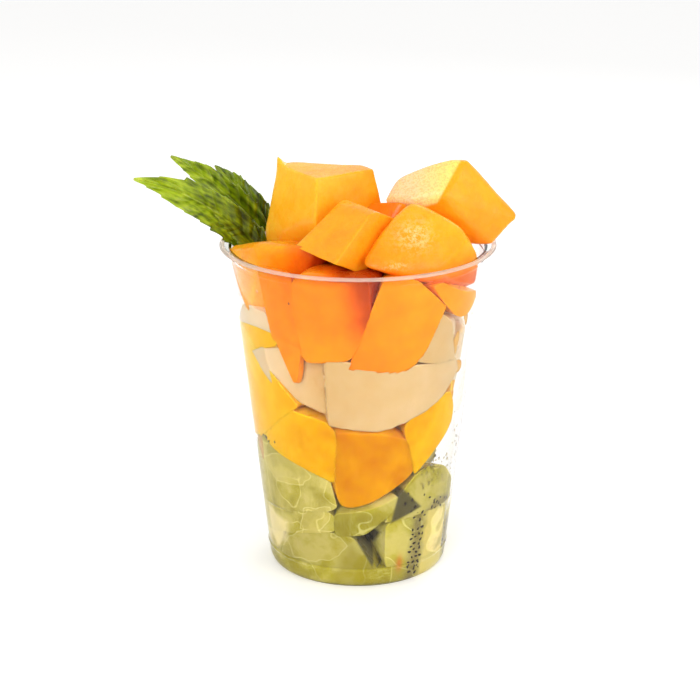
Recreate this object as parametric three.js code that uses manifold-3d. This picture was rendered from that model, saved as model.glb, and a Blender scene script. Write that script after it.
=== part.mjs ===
// A clear cup packed in layers with cut fruit: kiwi, mango, pale melon and papaya,
// with a heap of papaya above the rim and a sprig of mint. Millimetres and degrees, +Z up.
import * as THREE from "three";
import { ConvexGeometry } from "three/addons/geometries/ConvexGeometry.js";
import { ConvexHull } from "three/addons/math/ConvexHull.js";
import { mergeVertices } from "three/addons/utils/BufferGeometryUtils.js";
import Module from "manifold-3d";

const wasm = await Module();
wasm.setup();

// ---- driving dimensions ----------------------------------------------------------------

const CUP_HEIGHT = 120;
const RIM_RADIUS = 49;
const WALL_THICKNESS = 0.7;
const WALL_RADIUS_AT_TABLE = 32.05; // the straight outer wall, carried down to the table
const WALL_RADIUS_AT_RIM = 45.66;
const FOOT_RADIUS = 29.6;
const FOOT_RING_WIDTH = 2;
const HEEL_HEIGHT = 5;
const BASE_RECESS = 1; // the middle of the base stands this far off the table
const LIP_HEIGHT = 2;
const LIP_ROUNDING = 0.8;
const RING_LINE_HEIGHT = 7.3; // a fine raised line round the foot of the wall
const RING_LINE_PROUD = 0.3;
const RING_LINE_SPREAD = 0.8; // above and below its crest
const HEEL_STEPS = 4;
const HEEL_CLEARANCE = 0.5; // the fruit is held in by a cone that keeps clear of the rounded heel
const HEEL_SPREAD = 0.62; // millimetres that cone widens for each one it rises
const CUP_FACETS = 48;

const FRUIT_GAP = 0.32; // between neighbouring pieces, and between a piece and the cup
const CORNER_GAP = 0.34; // between the corners of a piece's outline and the cup
const EDGE_EASING = 0.9; // how far the knife edges of soft fruit are worn off
const SHARP_EDGE_ANGLE = 40; // only edges that turn more than this are eased
const FINEST_DETAIL = 1.1; // corners of a piece closer than this are one corner
const SMALLEST_PIECE = 200; // cubic millimetres
const SQUARENESS = 0.6; // of a rough chunk: 1 is round, 0 a rectangle
const ROUGH_CORNERS = 7;

const LEAF_THICKNESS = 1;
const LEAF_STEPS = 12;
const LEAF_TOOTH = 0.06; // share of the leaf's half width
const LEAF_TIP_WIDTH = 0.5;
const STEM_RADIUS = 1.6;
const SPRIG_FOOT = 90; // the sprig stays above this height

// ---- finishes --------------------------------------------------------------------------

const finish = (color, roughness) => new THREE.MeshStandardMaterial({ color, roughness, metalness: 0 });
const FINISHES = {
  plastic: new THREE.MeshStandardMaterial({
    color: "#f4f6f6",
    roughness: 0.08,
    metalness: 0,
    transparent: true,
    opacity: 0.3,
  }),
  papaya: finish("#ffa030", 0.3),
  melon: finish("#f2dcae", 0.35),
  mango: finish("#fbad1c", 0.25),
  kiwi: finish("#b8b44a", 0.35),
  mint: finish("#6f8f16", 0.55),
};

const fruitCup = new THREE.Group();
const radians = THREE.MathUtils.degToRad;

function addPart(name, geometry, material) {
  const mesh = new THREE.Mesh(geometry, FINISHES[material]);
  mesh.name = name;
  fruitCup.add(mesh);
}

// ---- the cup ---------------------------------------------------------------------------

const wallSlope = (WALL_RADIUS_AT_RIM - WALL_RADIUS_AT_TABLE) / CUP_HEIGHT;
const outerRadius = (height) => WALL_RADIUS_AT_TABLE + wallSlope * height;
const innerRadius = (height) => outerRadius(height) - WALL_THICKNESS;
const facetShare = Math.cos(Math.PI / CUP_FACETS); // a facet's middle is this much nearer the axis

// Points on a quarter turn of an ellipse that blends the flat foot into the wall.
function heelCurve(footRadius, footHeight, wallRadius, wallHeight) {
  const points = [];
  for (let i = 0; i <= HEEL_STEPS; i++) {
    const turn = (Math.PI / 2) * (i / HEEL_STEPS);
    points.push(
      new THREE.Vector2(
        footRadius + (wallRadius - footRadius) * Math.sin(turn),
        wallHeight + (footHeight - wallHeight) * Math.cos(turn),
      ),
    );
  }
  return points;
}

function cupGeometry() {
  const at = (radius, height) => new THREE.Vector2(radius, height);
  const recessRadius = FOOT_RADIUS - FOOT_RING_WIDTH;
  const floorTop = BASE_RECESS + WALL_THICKNESS;
  const lipBottom = CUP_HEIGHT - LIP_HEIGHT;
  const profile = [
    at(0, BASE_RECESS),
    at(recessRadius - BASE_RECESS, BASE_RECESS),
    at(recessRadius, 0),
    ...heelCurve(FOOT_RADIUS, 0, outerRadius(HEEL_HEIGHT), HEEL_HEIGHT),
    at(outerRadius(RING_LINE_HEIGHT - RING_LINE_SPREAD), RING_LINE_HEIGHT - RING_LINE_SPREAD),
    at(outerRadius(RING_LINE_HEIGHT) + RING_LINE_PROUD, RING_LINE_HEIGHT),
    at(outerRadius(RING_LINE_HEIGHT + RING_LINE_SPREAD), RING_LINE_HEIGHT + RING_LINE_SPREAD),
    at(outerRadius(lipBottom), lipBottom),
    at(RIM_RADIUS - LIP_ROUNDING, lipBottom),
    at(RIM_RADIUS, lipBottom + LIP_ROUNDING),
    at(RIM_RADIUS - LIP_ROUNDING / 2, CUP_HEIGHT - LIP_ROUNDING / 3),
    at(RIM_RADIUS - LIP_ROUNDING * 2, CUP_HEIGHT),
    at(outerRadius(CUP_HEIGHT), CUP_HEIGHT),
    at(innerRadius(CUP_HEIGHT - LIP_ROUNDING), CUP_HEIGHT - LIP_ROUNDING),
    ...heelCurve(
      FOOT_RADIUS - WALL_THICKNESS,
      WALL_THICKNESS,
      innerRadius(HEEL_HEIGHT + WALL_THICKNESS),
      HEEL_HEIGHT + WALL_THICKNESS,
    ).reverse(),
    at(recessRadius, WALL_THICKNESS),
    at(recessRadius - BASE_RECESS, floorTop),
    at(0, floorTop),
  ];
  return new THREE.LatheGeometry(profile, CUP_FACETS).rotateX(Math.PI / 2);
}

addPart("cup", cupGeometry(), "plastic");

// ---- convex pieces: flat-faced solids, held as lists of polygons -----------------------------

const ON_PLANE = 1e-6;
const SAME_CORNER = 0.05;
const ON_FACE = 0.12; // a corner this near to a face belongs to it
const SLIVER = 0.05; // square millimetres, twice the area of a face too small to have a direction
const SAME_DIRECTION = 0.9995; // cosine of the angle between two faces of one plane
const TILTS = [12, 6, 3];
const TILT_DIRECTIONS = 6;

function solidFrom(points) {
  return new ConvexHull().setFromPoints(points).faces.map((face) => {
    const { edge } = face;
    return [edge.head().point, edge.next.head().point, edge.prev.head().point];
  });
}

// The corners of a solid, with those nearer to another than the spacing left out.
function cornersOf(solid, spacing = SAME_CORNER) {
  const corners = [];
  for (const point of solid.flat())
    if (!corners.some((other) => other.distanceTo(point) < spacing)) corners.push(point);
  return corners;
}

function middleOf(points) {
  return points.reduce((sum, point) => sum.add(point), new THREE.Vector3()).divideScalar(points.length);
}

// A polygon's normal, as long as twice its area.
function areaNormal(polygon) {
  const normal = new THREE.Vector3();
  for (let i = 1; i + 1 < polygon.length; i++) {
    const along = polygon[i].clone().sub(polygon[0]);
    normal.add(along.cross(polygon[i + 1].clone().sub(polygon[0])));
  }
  return normal;
}

function volumeOf(solid) {
  if (!solid.length) return 0;
  const within = solid[0][0];
  const pyramid = (polygon) => Math.abs(areaNormal(polygon).dot(within.clone().sub(polygon[0]))) / 6;
  return solid.reduce((sum, polygon) => sum + pyramid(polygon), 0);
}

// The planes of a solid's faces, pointing outwards, each given once.
function planesOf(solid) {
  const middle = middleOf(solid.flat());
  const planes = [];
  for (const polygon of solid) {
    const normal = areaNormal(polygon);
    if (normal.length() < SLIVER) continue;
    const plane = new THREE.Plane().setFromNormalAndCoplanarPoint(normal.normalize(), polygon[0]);
    if (plane.distanceToPoint(middle) > 0) plane.negate();
    const same = (other) =>
      other.normal.dot(plane.normal) > SAME_DIRECTION && Math.abs(other.constant - plane.constant) < ON_FACE;
    if (!planes.some(same)) planes.push(plane);
  }
  return planes;
}

// What is left of a solid on the inner side of a plane, closed by a new face.
function cutBy(solid, plane) {
  if (solid.every((polygon) => polygon.every((corner) => plane.distanceToPoint(corner) <= ON_PLANE)))
    return solid;
  const left = [];
  const rim = [];
  for (const polygon of solid) {
    const kept = [];
    polygon.forEach((corner, i) => {
      const following = polygon[(i + 1) % polygon.length];
      const [here, there] = [plane.distanceToPoint(corner), plane.distanceToPoint(following)];
      if (here <= ON_PLANE) kept.push(corner);
      if (Math.abs(here) <= ON_PLANE) rim.push(corner);
      if (Math.min(here, there) < -ON_PLANE && Math.max(here, there) > ON_PLANE) {
        const crossing = corner.clone().lerp(following, here / (here - there));
        kept.push(crossing);
        rim.push(crossing);
      }
    });
    if (kept.length > 2) left.push(kept);
  }
  if (rim.length < 3) return left;
  const middle = middleOf(rim);
  const across = rim
    .map((corner) => corner.clone().sub(middle))
    .reduce((far, arm) => (arm.length() > far.length() ? arm : far));
  const upwards = plane.normal.clone().cross(across);
  const turn = (corner) => {
    const arm = corner.clone().sub(middle);
    return Math.atan2(arm.dot(upwards) / upwards.length(), arm.dot(across) / across.length());
  };
  left.push([...rim].sort((first, second) => turn(first) - turn(second)));
  return left;
}

// A plane that holds a neighbour on its inner side and just clears it, in a given direction.
function planeClearing(neighbour, normal) {
  const reach = Math.max(...neighbour.flat().map((corner) => corner.dot(normal)));
  return new THREE.Plane(normal.clone().negate(), reach + FRUIT_GAP);
}

// A soft piece pressed against one already in place is flattened along the plane between the two
// that costs it least: a face of either piece, then tilted while that leaves it more.
function pressedAgainst(solid, neighbour) {
  let best = { solid: [], size: 0, normal: null };
  const consider = (normal) => {
    if (best.size === Infinity) return;
    const left = cutBy(solid, planeClearing(neighbour, normal));
    const size = left === solid ? Infinity : volumeOf(left);
    if (size > best.size) best = { solid: left, size, normal };
  };
  for (const face of planesOf(solid)) consider(face.normal.clone().negate());
  for (const face of planesOf(neighbour)) consider(face.normal);
  for (const tilt of TILTS)
    for (let i = 0; i < TILT_DIRECTIONS && best.normal; i++) {
      const sideways = new THREE.Vector3(best.normal.y, best.normal.z, best.normal.x);
      const axis = sideways.cross(best.normal).normalize();
      axis.applyAxisAngle(best.normal, (i * 2 * Math.PI) / TILT_DIRECTIONS);
      consider(best.normal.clone().applyAxisAngle(axis, radians(tilt)));
    }
  return best.solid;
}

// The flat facets of the inside of the cup, carried on above the rim as an open cone.
function cupLimits() {
  const limits = [];
  for (let i = 0; i < CUP_FACETS; i++) {
    const angle = ((i + 0.5) * 2 * Math.PI) / CUP_FACETS;
    const out = [Math.sin(angle), -Math.cos(angle)];
    const slopes = [
      [innerRadius(0) * facetShare, wallSlope * facetShare],
      [(FOOT_RADIUS - WALL_THICKNESS) * facetShare - HEEL_CLEARANCE, HEEL_SPREAD],
    ];
    for (const [radius, slope] of slopes) {
      const normal = new THREE.Vector3(out[0], out[1], -slope);
      const length = normal.length();
      limits.push(new THREE.Plane(normal.divideScalar(length), FRUIT_GAP - radius / length));
    }
  }
  const floor = BASE_RECESS + WALL_THICKNESS + FRUIT_GAP;
  limits.push(new THREE.Plane(new THREE.Vector3(0, 0, -1), floor));
  return limits;
}

const insideCup = cupLimits();

// The worn edges: every sharp edge is planed off at the angle between its two faces.
function eased(solid, easing) {
  const planes = planesOf(solid);
  const corners = cornersOf(solid);
  const touched = planes.map((plane) =>
    corners.filter((corner) => Math.abs(plane.distanceToPoint(corner)) < ON_FACE),
  );
  const sharp = Math.cos(radians(SHARP_EDGE_ANGLE));
  let left = solid;
  planes.forEach((first, i) =>
    planes.slice(i + 1).forEach((second, j) => {
      const shared = touched[i].filter((corner) => touched[i + 1 + j].includes(corner));
      if (shared.length < 2 || first.normal.dot(second.normal) > sharp) return;
      const normal = first.normal.clone().add(second.normal).normalize();
      const reach = Math.max(...shared.map((corner) => corner.dot(normal)));
      left = cutBy(left, new THREE.Plane(normal, easing - reach));
    }),
  );
  return left;
}

const placed = [];

function addPiece(name, fruit, roughCorners, { freeOfCup = false, easing = EDGE_EASING } = {}) {
  let solid = solidFrom(roughCorners);
  if (!freeOfCup) for (const limit of insideCup) solid = cutBy(solid, limit);
  for (const neighbour of placed) {
    solid = pressedAgainst(solid, neighbour);
    if (volumeOf(solid) < SMALLEST_PIECE) throw new Error(name + " is squeezed out of the cup");
  }
  placed.push(solid);
  addPart(name, new ConvexGeometry(cornersOf(eased(solid, easing), FINEST_DETAIL)), fruit);
}

// A place in the cup: the angle round it from the front towards the right, the height, and the
// distance in from the wall.
function inCup([angle, height, inset = 0]) {
  const turn = radians(angle);
  const radius = innerRadius(height) * facetShare - CORNER_GAP - inset;
  return new THREE.Vector3(radius * Math.sin(turn), -radius * Math.cos(turn), height);
}

// A piece that shows at the wall: its outline there, carried inwards to a smaller, lower or
// higher inner end, with a fuller middle between the two.
function wallPiece(name, fruit, outline, options = {}) {
  const { depth = 22, taper = 0.75, rise = 0, ...rest } = options;
  const face = outline.map(inCup);
  const middle = middleOf(face);
  const inwards = new THREE.Vector3(-middle.x, -middle.y, 0).normalize();
  const section = (share, scale) =>
    face.map((corner) =>
      corner
        .clone()
        .sub(middle)
        .multiplyScalar(scale)
        .add(middle)
        .addScaledVector(inwards, depth * share)
        .add(new THREE.Vector3(0, 0, rise * share)),
    );
  addPiece(name, fruit, [...face, ...section(0.5, (1 + taper) / 2 + 0.06), ...section(1, taper)], rest);
}

// A knife-cut block: its size, how much narrower its top is, how far the top leans over, where
// its middle is and how it is turned.
function blockPiece(name, fruit, { size, top = [1, 1], lean = [0, 0], at, turn, cuts = [], ...rest }) {
  const rotation = new THREE.Euler(...turn.map(radians), "ZYX");
  const place = new THREE.Vector3(...at);
  const corners = [];
  for (const x of [-0.5, 0.5])
    for (const y of [-0.5, 0.5])
      for (const z of [-0.5, 0.5]) {
        const [narrowX, narrowY] = z > 0 ? top : [1, 1];
        corners.push(
          new THREE.Vector3(
            size[0] * x * narrowX + lean[0] * z,
            size[1] * y * narrowY + lean[1] * z,
            size[2] * z,
          ),
        );
      }
  let block = solidFrom(corners);
  for (const { towards, keep } of cuts)
    block = cutBy(block, new THREE.Plane(new THREE.Vector3(...towards).normalize(), -keep));
  addPiece(name, fruit, cornersOf(block).map((corner) => corner.applyEuler(rotation).add(place)), rest);
}

// ---- the front of the papaya layer and the heap above the rim, outermost pieces first ----

wallPiece("papaya_wall_centre", "papaya", [
  [-31, 113],
  [-26, 119],
  [3, 118],
  [13, 118, 10],
  [4, 104],
  [-3, 90],
  [-26, 88],
]);
wallPiece("papaya_wall_right", "papaya", [
  [13, 118],
  [24, 118],
  [43, 105],
  [31, 87],
  [21, 84],
  [-2, 86],
  [-2, 93],
]);
blockPiece("papaya_heap_slab", "papaya", {
  size: [13.3, 21, 20],
  top: [1.2, 0.73],
  lean: [11, 0],
  at: [-2.5, -23.7, 128.4],
  turn: [5, 25, 43],
});
wallPiece(
  "papaya_heap_rounded",
  "papaya",
  [[6, 120, 1], [30, 118], [46, 112], [70, 107], [70, 122], [55, 132, 1], [44, 140, 14], [24, 136, 14]],
  { depth: 15, taper: 0.8, rise: 2, easing: 1.6 },
);
wallPiece("papaya_tongue", "papaya", [[-43, 94], [-27, 93], [-29, 80], [-32, 76], [-37, 82]], { depth: 4 });
wallPiece(
  "papaya_wall_left",
  "papaya",
  [[-48, 118], [-34, 118], [-31, 113], [-27, 93], [-43, 94], [-46, 104]],
  { depth: 7 },
);
wallPiece(
  "papaya_rim_left",
  "papaya",
  [[-82, 119], [-61, 124, 4], [-36, 125, 8], [-28, 121, 9], [-45, 104], [-62, 102]],
  { depth: 18 },
);
wallPiece("papaya_wall_far_right", "papaya", [
  [35, 112],
  [44, 114],
  [70, 105],
  [66, 101],
  [54, 100],
  [43, 104],
]);
blockPiece("papaya_heap_cube", "papaya", {
  size: [32.7, 32.5, 29],
  top: [0.71, 0.76],
  at: [-11.3, 2.4, 131.5],
  turn: [1, -1, 34],
  cuts: [{ towards: [0.5, 0.5, 1.2], keep: 15 }],
});
wallPiece(
  "papaya_heap_skin_wedge",
  "papaya",
  [
    [81, 151.6, 10],
    [88, 129.5, -11.5],
    [80, 120, -4],
    [62, 140, 13],
    [70, 126, 10],
    [100, 140, 6],
    [104, 125, 2],
  ],
  { depth: 25, taper: 0.75, rise: -4, freeOfCup: true },
);
blockPiece("papaya_heap_middle", "papaya", { size: [20, 18, 22], at: [12, -4, 125.5], turn: [0, 8, 25] });

// ---- the front of the melon layer --------------------------------------------------------

wallPiece("melon_wall_right", "melon", [
  [-15, 87],
  [-14, 64],
  [11, 62],
  [28, 65],
  [46, 70],
  [56, 77],
  [50, 85],
  [20, 84],
]);
wallPiece("melon_wall_left", "melon", [
  [-61, 84],
  [-46, 89],
  [-17, 89, 4],
  [-15, 71, 4],
  [-25, 70],
  [-40, 73],
  [-53, 79],
]);
wallPiece("melon_far_left", "melon", [[-80, 92], [-66, 102], [-45, 101], [-44, 95]], { depth: 16 });
wallPiece("melon_far_right", "melon", [[36, 95], [31, 88], [50, 84], [58, 86, 3], [57, 98, 3], [44, 101]], {
  depth: 16,
});

// ---- the front of the mango layer --------------------------------------------------------

wallPiece(
  "mango_wall_centre",
  "mango",
  [[-14, 63], [11, 62], [27, 58], [33, 45], [22, 38], [8, 33], [-5, 31], [-13, 34], [-16, 43]],
  { easing: 1.6 },
);
wallPiece("mango_wall_left", "mango", [
  [-60, 58],
  [-38, 70],
  [-17, 68],
  [-16, 62],
  [-17, 43],
  [-27, 47],
  [-41, 48],
  [-58, 52],
]);
wallPiece("mango_wall_right", "mango", [
  [27, 64],
  [46, 69],
  [54, 71],
  [59, 64],
  [59, 57],
  [44, 50],
  [37, 45],
  [32, 45],
]);
wallPiece("mango_far_left", "mango", [[-88, 90], [-64, 87], [-40, 72], [-58, 57], [-88, 54]], { depth: 16 });
wallPiece("mango_slip_left", "mango", [[-78, 91], [-44, 94], [-42, 90], [-61, 85]], { depth: 12 });
wallPiece("mango_slip_right", "mango", [[54, 83], [62, 82, 4], [66, 71, 5], [57, 69]], { depth: 12 });

// ---- the front of the kiwi layer ---------------------------------------------------------

wallPiece("kiwi_base_left", "kiwi", [[-66, 6], [-44, 20], [-5, 21], [12, 8], [9, 2], [-26, 1], [-58, 1]], {
  depth: 15,
});
wallPiece("kiwi_base_right", "kiwi", [[18, 25], [37, 24], [46, 27], [66, 25], [68, 2], [45, 1], [19, 2]], {
  depth: 16,
});
wallPiece("kiwi_upper_right", "kiwi", [
  [25, 35],
  [37, 44],
  [55, 43],
  [70, 34],
  [72, 26],
  [46, 28],
  [37, 25],
  [18, 26],
]);
wallPiece(
  "kiwi_middle",
  "kiwi",
  [[-14, 31], [-3, 30], [20, 38], [23, 40], [24, 34], [14, 27], [4, 22], [-13, 21]],
  { depth: 13 },
);
wallPiece("kiwi_upper_left", "kiwi", [
  [-75, 47],
  [-55, 53],
  [-41, 48],
  [-26, 47],
  [-17, 39],
  [-16, 33],
  [-35, 27],
  [-79, 25],
]);
wallPiece("kiwi_middle_left", "kiwi", [
  [-79, 24],
  [-35, 28],
  [-21, 34],
  [-17, 32],
  [-15, 24],
  [-38, 21],
  [-80, 15],
]);
wallPiece("kiwi_core_left", "kiwi", [[-80, 14], [-42, 20], [-55, 8], [-76, 8]], { depth: 12 });
wallPiece("kiwi_set_back", "kiwi", [[-12, 25, 6], [26, 26, 6], [26, 3, 6], [2, 3, 6]], { depth: 18 });

// ---- the mint ----------------------------------------------------------------------------

// A closed solid through rings of points, with a fan over each end.
function loft(rings) {
  const size = rings[0].length;
  const vertices = rings.flat().flatMap((point) => point.toArray());
  const triangles = [];
  for (let ring = 0; ring + 1 < rings.length; ring++)
    for (let i = 0; i < size; i++) {
      const [a, b] = [ring * size + i, ring * size + ((i + 1) % size)];
      triangles.push(a, b, b + size, a, b + size, a + size);
    }
  const last = (rings.length - 1) * size;
  for (let i = 1; i + 1 < size; i++) triangles.push(0, i + 1, i, last, last + i, last + i + 1);
  const geometry = new THREE.BufferGeometry();
  geometry.setAttribute("position", new THREE.Float32BufferAttribute(vertices, 3));
  geometry.setIndex(triangles);
  return geometry;
}

function toSolid(geometry) {
  const bare = geometry.clone();
  bare.deleteAttribute("normal");
  bare.deleteAttribute("uv");
  const merged = mergeVertices(bare, 1e-3);
  return new wasm.Manifold(
    new wasm.Mesh({
      numProp: 3,
      vertProperties: merged.attributes.position.array,
      triVerts: new Uint32Array(merged.index.array),
    }),
  );
}

function toGeometry(solid) {
  const mesh = solid.getMesh();
  const geometry = new THREE.BufferGeometry();
  geometry.setAttribute("position", new THREE.Float32BufferAttribute(mesh.vertProperties, 3));
  geometry.setIndex(Array.from(mesh.triVerts));
  return geometry;
}

function cornersOfMesh(solid) {
  const { vertProperties, numVert } = solid.getMesh();
  const corners = [];
  for (let i = 0; i < numVert; i++) corners.push(new THREE.Vector3().fromArray(vertProperties, 3 * i));
  return corners;
}

// A leaf folded along its midrib: wide soon after its stalk, toothed, narrowing to the tip.
function leafSolid({ base, bend, tip, halfWidth, facing, fold }) {
  const spine = new THREE.QuadraticBezierCurve3(
    new THREE.Vector3(...base),
    new THREE.Vector3(...bend),
    new THREE.Vector3(...tip),
  );
  const rings = [];
  for (let i = 0; i <= LEAF_STEPS; i++) {
    const along = i / LEAF_STEPS;
    const middle = spine.getPoint(along);
    const forward = spine.getTangent(along);
    const side = forward.clone().cross(new THREE.Vector3(...facing)).normalize();
    const face = side.clone().cross(forward).normalize();
    const tooth = i % 2 ? 1 + LEAF_TOOTH : 1 - LEAF_TOOTH;
    const width = LEAF_TIP_WIDTH + halfWidth * tooth * Math.sin(Math.PI * along ** 0.45) ** 0.8;
    const point = (across, lift) =>
      middle
        .clone()
        .addScaledVector(side, across * width)
        .addScaledVector(face, Math.abs(across) * width * fold + lift * LEAF_THICKNESS * 0.5);
    rings.push([point(-1, 1), point(0, 1), point(1, 1), point(1, -1), point(0, -1), point(-1, -1)]);
  }
  return toSolid(loft(rings));
}

function stemSolid(from, to) {
  const extrudePath = new THREE.LineCurve3(new THREE.Vector3(...from), new THREE.Vector3(...to));
  const section = new THREE.Shape().absarc(0, 0, STEM_RADIUS, 0, 2 * Math.PI);
  const settings = { extrudePath, steps: 1, curveSegments: 4, bevelEnabled: false };
  return toSolid(new THREE.ExtrudeGeometry(section, settings));
}

const LEAVES = [
  {
    base: [-36, 9, 116],
    bend: [-50, 4, 136],
    tip: [-79, 0, 142.3],
    halfWidth: 6.4,
    facing: [0.1, -1, 0.3],
    fold: 0.3,
  },
  {
    base: [-34, 12, 120],
    bend: [-46, 11, 136],
    tip: [-66, 12, 147.5],
    halfWidth: 4.6,
    facing: [0.2, -1, 0.4],
    fold: 0.35,
  },
  {
    base: [-33, 15, 124],
    bend: [-40, 17, 134],
    tip: [-51, 20, 142.4],
    halfWidth: 4.2,
    facing: [0.1, -1, 0.6],
    fold: 0.3,
  },
];

// The ring that the cup's wall and lip take up, with the gap that the sprig keeps to them.
function rimKeepOut() {
  const inside = innerRadius(0) * facetShare - FRUIT_GAP;
  const outside = RIM_RADIUS + FRUIT_GAP;
  const profile = [
    new THREE.Vector2(inside + wallSlope * SPRIG_FOOT, SPRIG_FOOT),
    new THREE.Vector2(outside, SPRIG_FOOT),
    new THREE.Vector2(outside, CUP_HEIGHT + FRUIT_GAP),
    new THREE.Vector2(inside + wallSlope * CUP_HEIGHT, CUP_HEIGHT + FRUIT_GAP),
    new THREE.Vector2(inside + wallSlope * SPRIG_FOOT, SPRIG_FOOT),
  ];
  return toSolid(new THREE.LatheGeometry(profile, CUP_FACETS).rotateX(Math.PI / 2));
}

const sprig = LEAVES.map(leafSolid)
  .reduce((joined, leaf) => joined.add(leaf), stemSolid([-32, 14, 110], [-34.5, 11.5, 122]))
  .subtract(rimKeepOut());
addPart("mint_sprig", toGeometry(sprig), "mint");
placed.push(solidFrom(cornersOfMesh(sprig)));

// ---- the sides and the back, filled like the front -----------------------------------------

const uneven = (spread) => spread * (THREE.MathUtils.seededRandom() - 0.5);

// A chunk at the wall, cut roughly square: where its middle is, how wide and tall it is, how far
// it stands off the wall and how much further its top does.
function roughPiece(name, fruit, { angle, height, width, tall, inset = 0, lean = 0, depth = 20 }) {
  const outline = [];
  const start = uneven(50);
  const slant = uneven(0.24);
  for (let i = 0; i < ROUGH_CORNERS; i++) {
    const turn = radians((360 / ROUGH_CORNERS) * i + start + uneven(26));
    const squared = (value) => Math.sign(value) * Math.abs(value) ** SQUARENESS;
    const aside = (width / 2 + uneven(8)) * squared(Math.cos(turn));
    const up = (tall / 2 + uneven(5)) * squared(Math.sin(turn));
    outline.push([angle + aside, height + up + slant * aside, Math.max(inset + lean * Math.sin(turn), 0)]);
  }
  wallPiece(name, fruit, outline, { depth, taper: 0.6, rise: uneven(8) });
}

// A ring of chunks between two angles, no two of them at quite the same height.
function roughRing(name, fruit, { from, to, count, bottom, top, ...rest }) {
  const width = (to - from) / count;
  for (let i = 0; i < count; i++)
    roughPiece(name + "_" + (i + 1), fruit, {
      angle: from + width * (i + 0.5) + uneven(8),
      height: (bottom + top) / 2 + uneven(6),
      width: width + 8,
      tall: top - bottom + 3,
      ...rest,
    });
}

THREE.MathUtils.seededRandom(11);
roughPiece("kiwi_low_side", "kiwi", { angle: 92, height: 13, width: 44, tall: 23 });
roughRing("kiwi_low_back", "kiwi", { from: 116, to: 276, count: 3, bottom: 2, top: 24 });
roughPiece("kiwi_high_side", "kiwi", { angle: 102, height: 29, width: 40, tall: 13, inset: 4, lean: 4 });
roughRing("kiwi_high_back", "kiwi", { from: 122, to: 280, count: 3, bottom: 24, top: 45 });
roughPiece("mango_side", "mango", { angle: 84, height: 58, width: 50, tall: 22, inset: 9, lean: -3 });
roughRing("mango_back", "mango", { from: 112, to: 268, count: 3, bottom: 46, top: 68 });
roughPiece("melon_side", "melon", { angle: 88, height: 82, width: 54, tall: 22, inset: 3, lean: -1 });
roughRing("melon_back", "melon", { from: 122, to: 276, count: 3, bottom: 69, top: 92 });
roughPiece("papaya_side", "papaya", { angle: 92, height: 105, width: 50, tall: 22, inset: 7, lean: 2 });
roughRing("papaya_back", "papaya", { from: 116, to: 262, count: 3, bottom: 93, top: 117 });

blockPiece("kiwi_core", "kiwi", { size: [24, 26, 38], at: [1, 2, 24], turn: [0, 6, 20] });
blockPiece("mango_core", "mango", { size: [28, 28, 24], at: [1, 3, 57], turn: [8, 0, 40] });
blockPiece("melon_core", "melon", { size: [30, 28, 22], at: [2, 3, 81], turn: [-6, 5, 10] });
blockPiece("papaya_core", "papaya", { size: [32, 30, 24], at: [3, 3, 104], turn: [5, 0, 30] });

blockPiece("papaya_heap_core", "papaya", { size: [24, 20, 15], at: [12, 13, 119], turn: [0, 0, 15] });
roughRing("papaya_heap_back", "papaya", {
  from: 96,
  to: 262,
  count: 4,
  bottom: 113,
  top: 124,
  inset: 9,
  lean: 5,
});

// ---- the part's own frame: the table at zero, the middle of the whole in plan ----------------

const extent = new THREE.Box3().setFromObject(fruitCup);
const middle = extent.getCenter(new THREE.Vector3());
fruitCup.position.set(-middle.x, -middle.y, -extent.min.z);

export default fruitCup;
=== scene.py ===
from itertools import product

import bpy
import numpy as np
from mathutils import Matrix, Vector


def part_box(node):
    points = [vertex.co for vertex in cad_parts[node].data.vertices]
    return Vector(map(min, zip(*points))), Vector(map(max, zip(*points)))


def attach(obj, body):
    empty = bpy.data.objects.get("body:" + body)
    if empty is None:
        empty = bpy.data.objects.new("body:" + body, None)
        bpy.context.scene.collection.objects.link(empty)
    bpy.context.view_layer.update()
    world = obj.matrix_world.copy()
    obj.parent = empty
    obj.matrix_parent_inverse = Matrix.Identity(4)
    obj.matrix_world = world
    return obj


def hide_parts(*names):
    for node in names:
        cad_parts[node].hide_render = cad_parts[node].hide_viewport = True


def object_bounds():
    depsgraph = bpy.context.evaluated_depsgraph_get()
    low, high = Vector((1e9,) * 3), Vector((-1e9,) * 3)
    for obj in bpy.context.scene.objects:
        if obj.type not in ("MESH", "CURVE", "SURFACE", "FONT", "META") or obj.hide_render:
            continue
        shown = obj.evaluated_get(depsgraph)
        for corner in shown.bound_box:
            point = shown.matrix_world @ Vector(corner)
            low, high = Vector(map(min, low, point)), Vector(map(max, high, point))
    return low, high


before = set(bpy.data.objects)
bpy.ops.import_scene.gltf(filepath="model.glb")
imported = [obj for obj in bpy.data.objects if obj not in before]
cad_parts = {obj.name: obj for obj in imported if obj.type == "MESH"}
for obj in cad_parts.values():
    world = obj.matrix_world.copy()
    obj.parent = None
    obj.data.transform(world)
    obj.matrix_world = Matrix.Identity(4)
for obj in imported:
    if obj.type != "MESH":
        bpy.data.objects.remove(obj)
cad_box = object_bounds()

# ---- the cup ----
# A clear thermoformed drinks cup: a rolled lip with a second fine line under it, a tapering wall,
# a raised line near the foot, a rounded heel and a recessed base. One turned shell, 0.7 mm thick.

MM = 0.001
CUP_HEIGHT = 120 * MM
RIM_RADIUS = 49 * MM
WALL = 0.7 * MM
# from the axis to the outside of the straight wall, in millimetres
WALL_AT_TABLE = 32.05
WALL_AT_RIM = 45.66
FOOT_RADIUS = 29.6 * MM
HEEL_HEIGHT = 5 * MM
BASE_RECESS = 1 * MM
LINE_HEIGHT = 7.3 * MM
STACKING_LINE_HEIGHT = 115.6 * MM
LIP_BOTTOM = 118.7 * MM
BEAD = 1.7 * MM
TURNS = 288

low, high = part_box("cup")
cup_axis = (low.x + high.x) / 2


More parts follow.
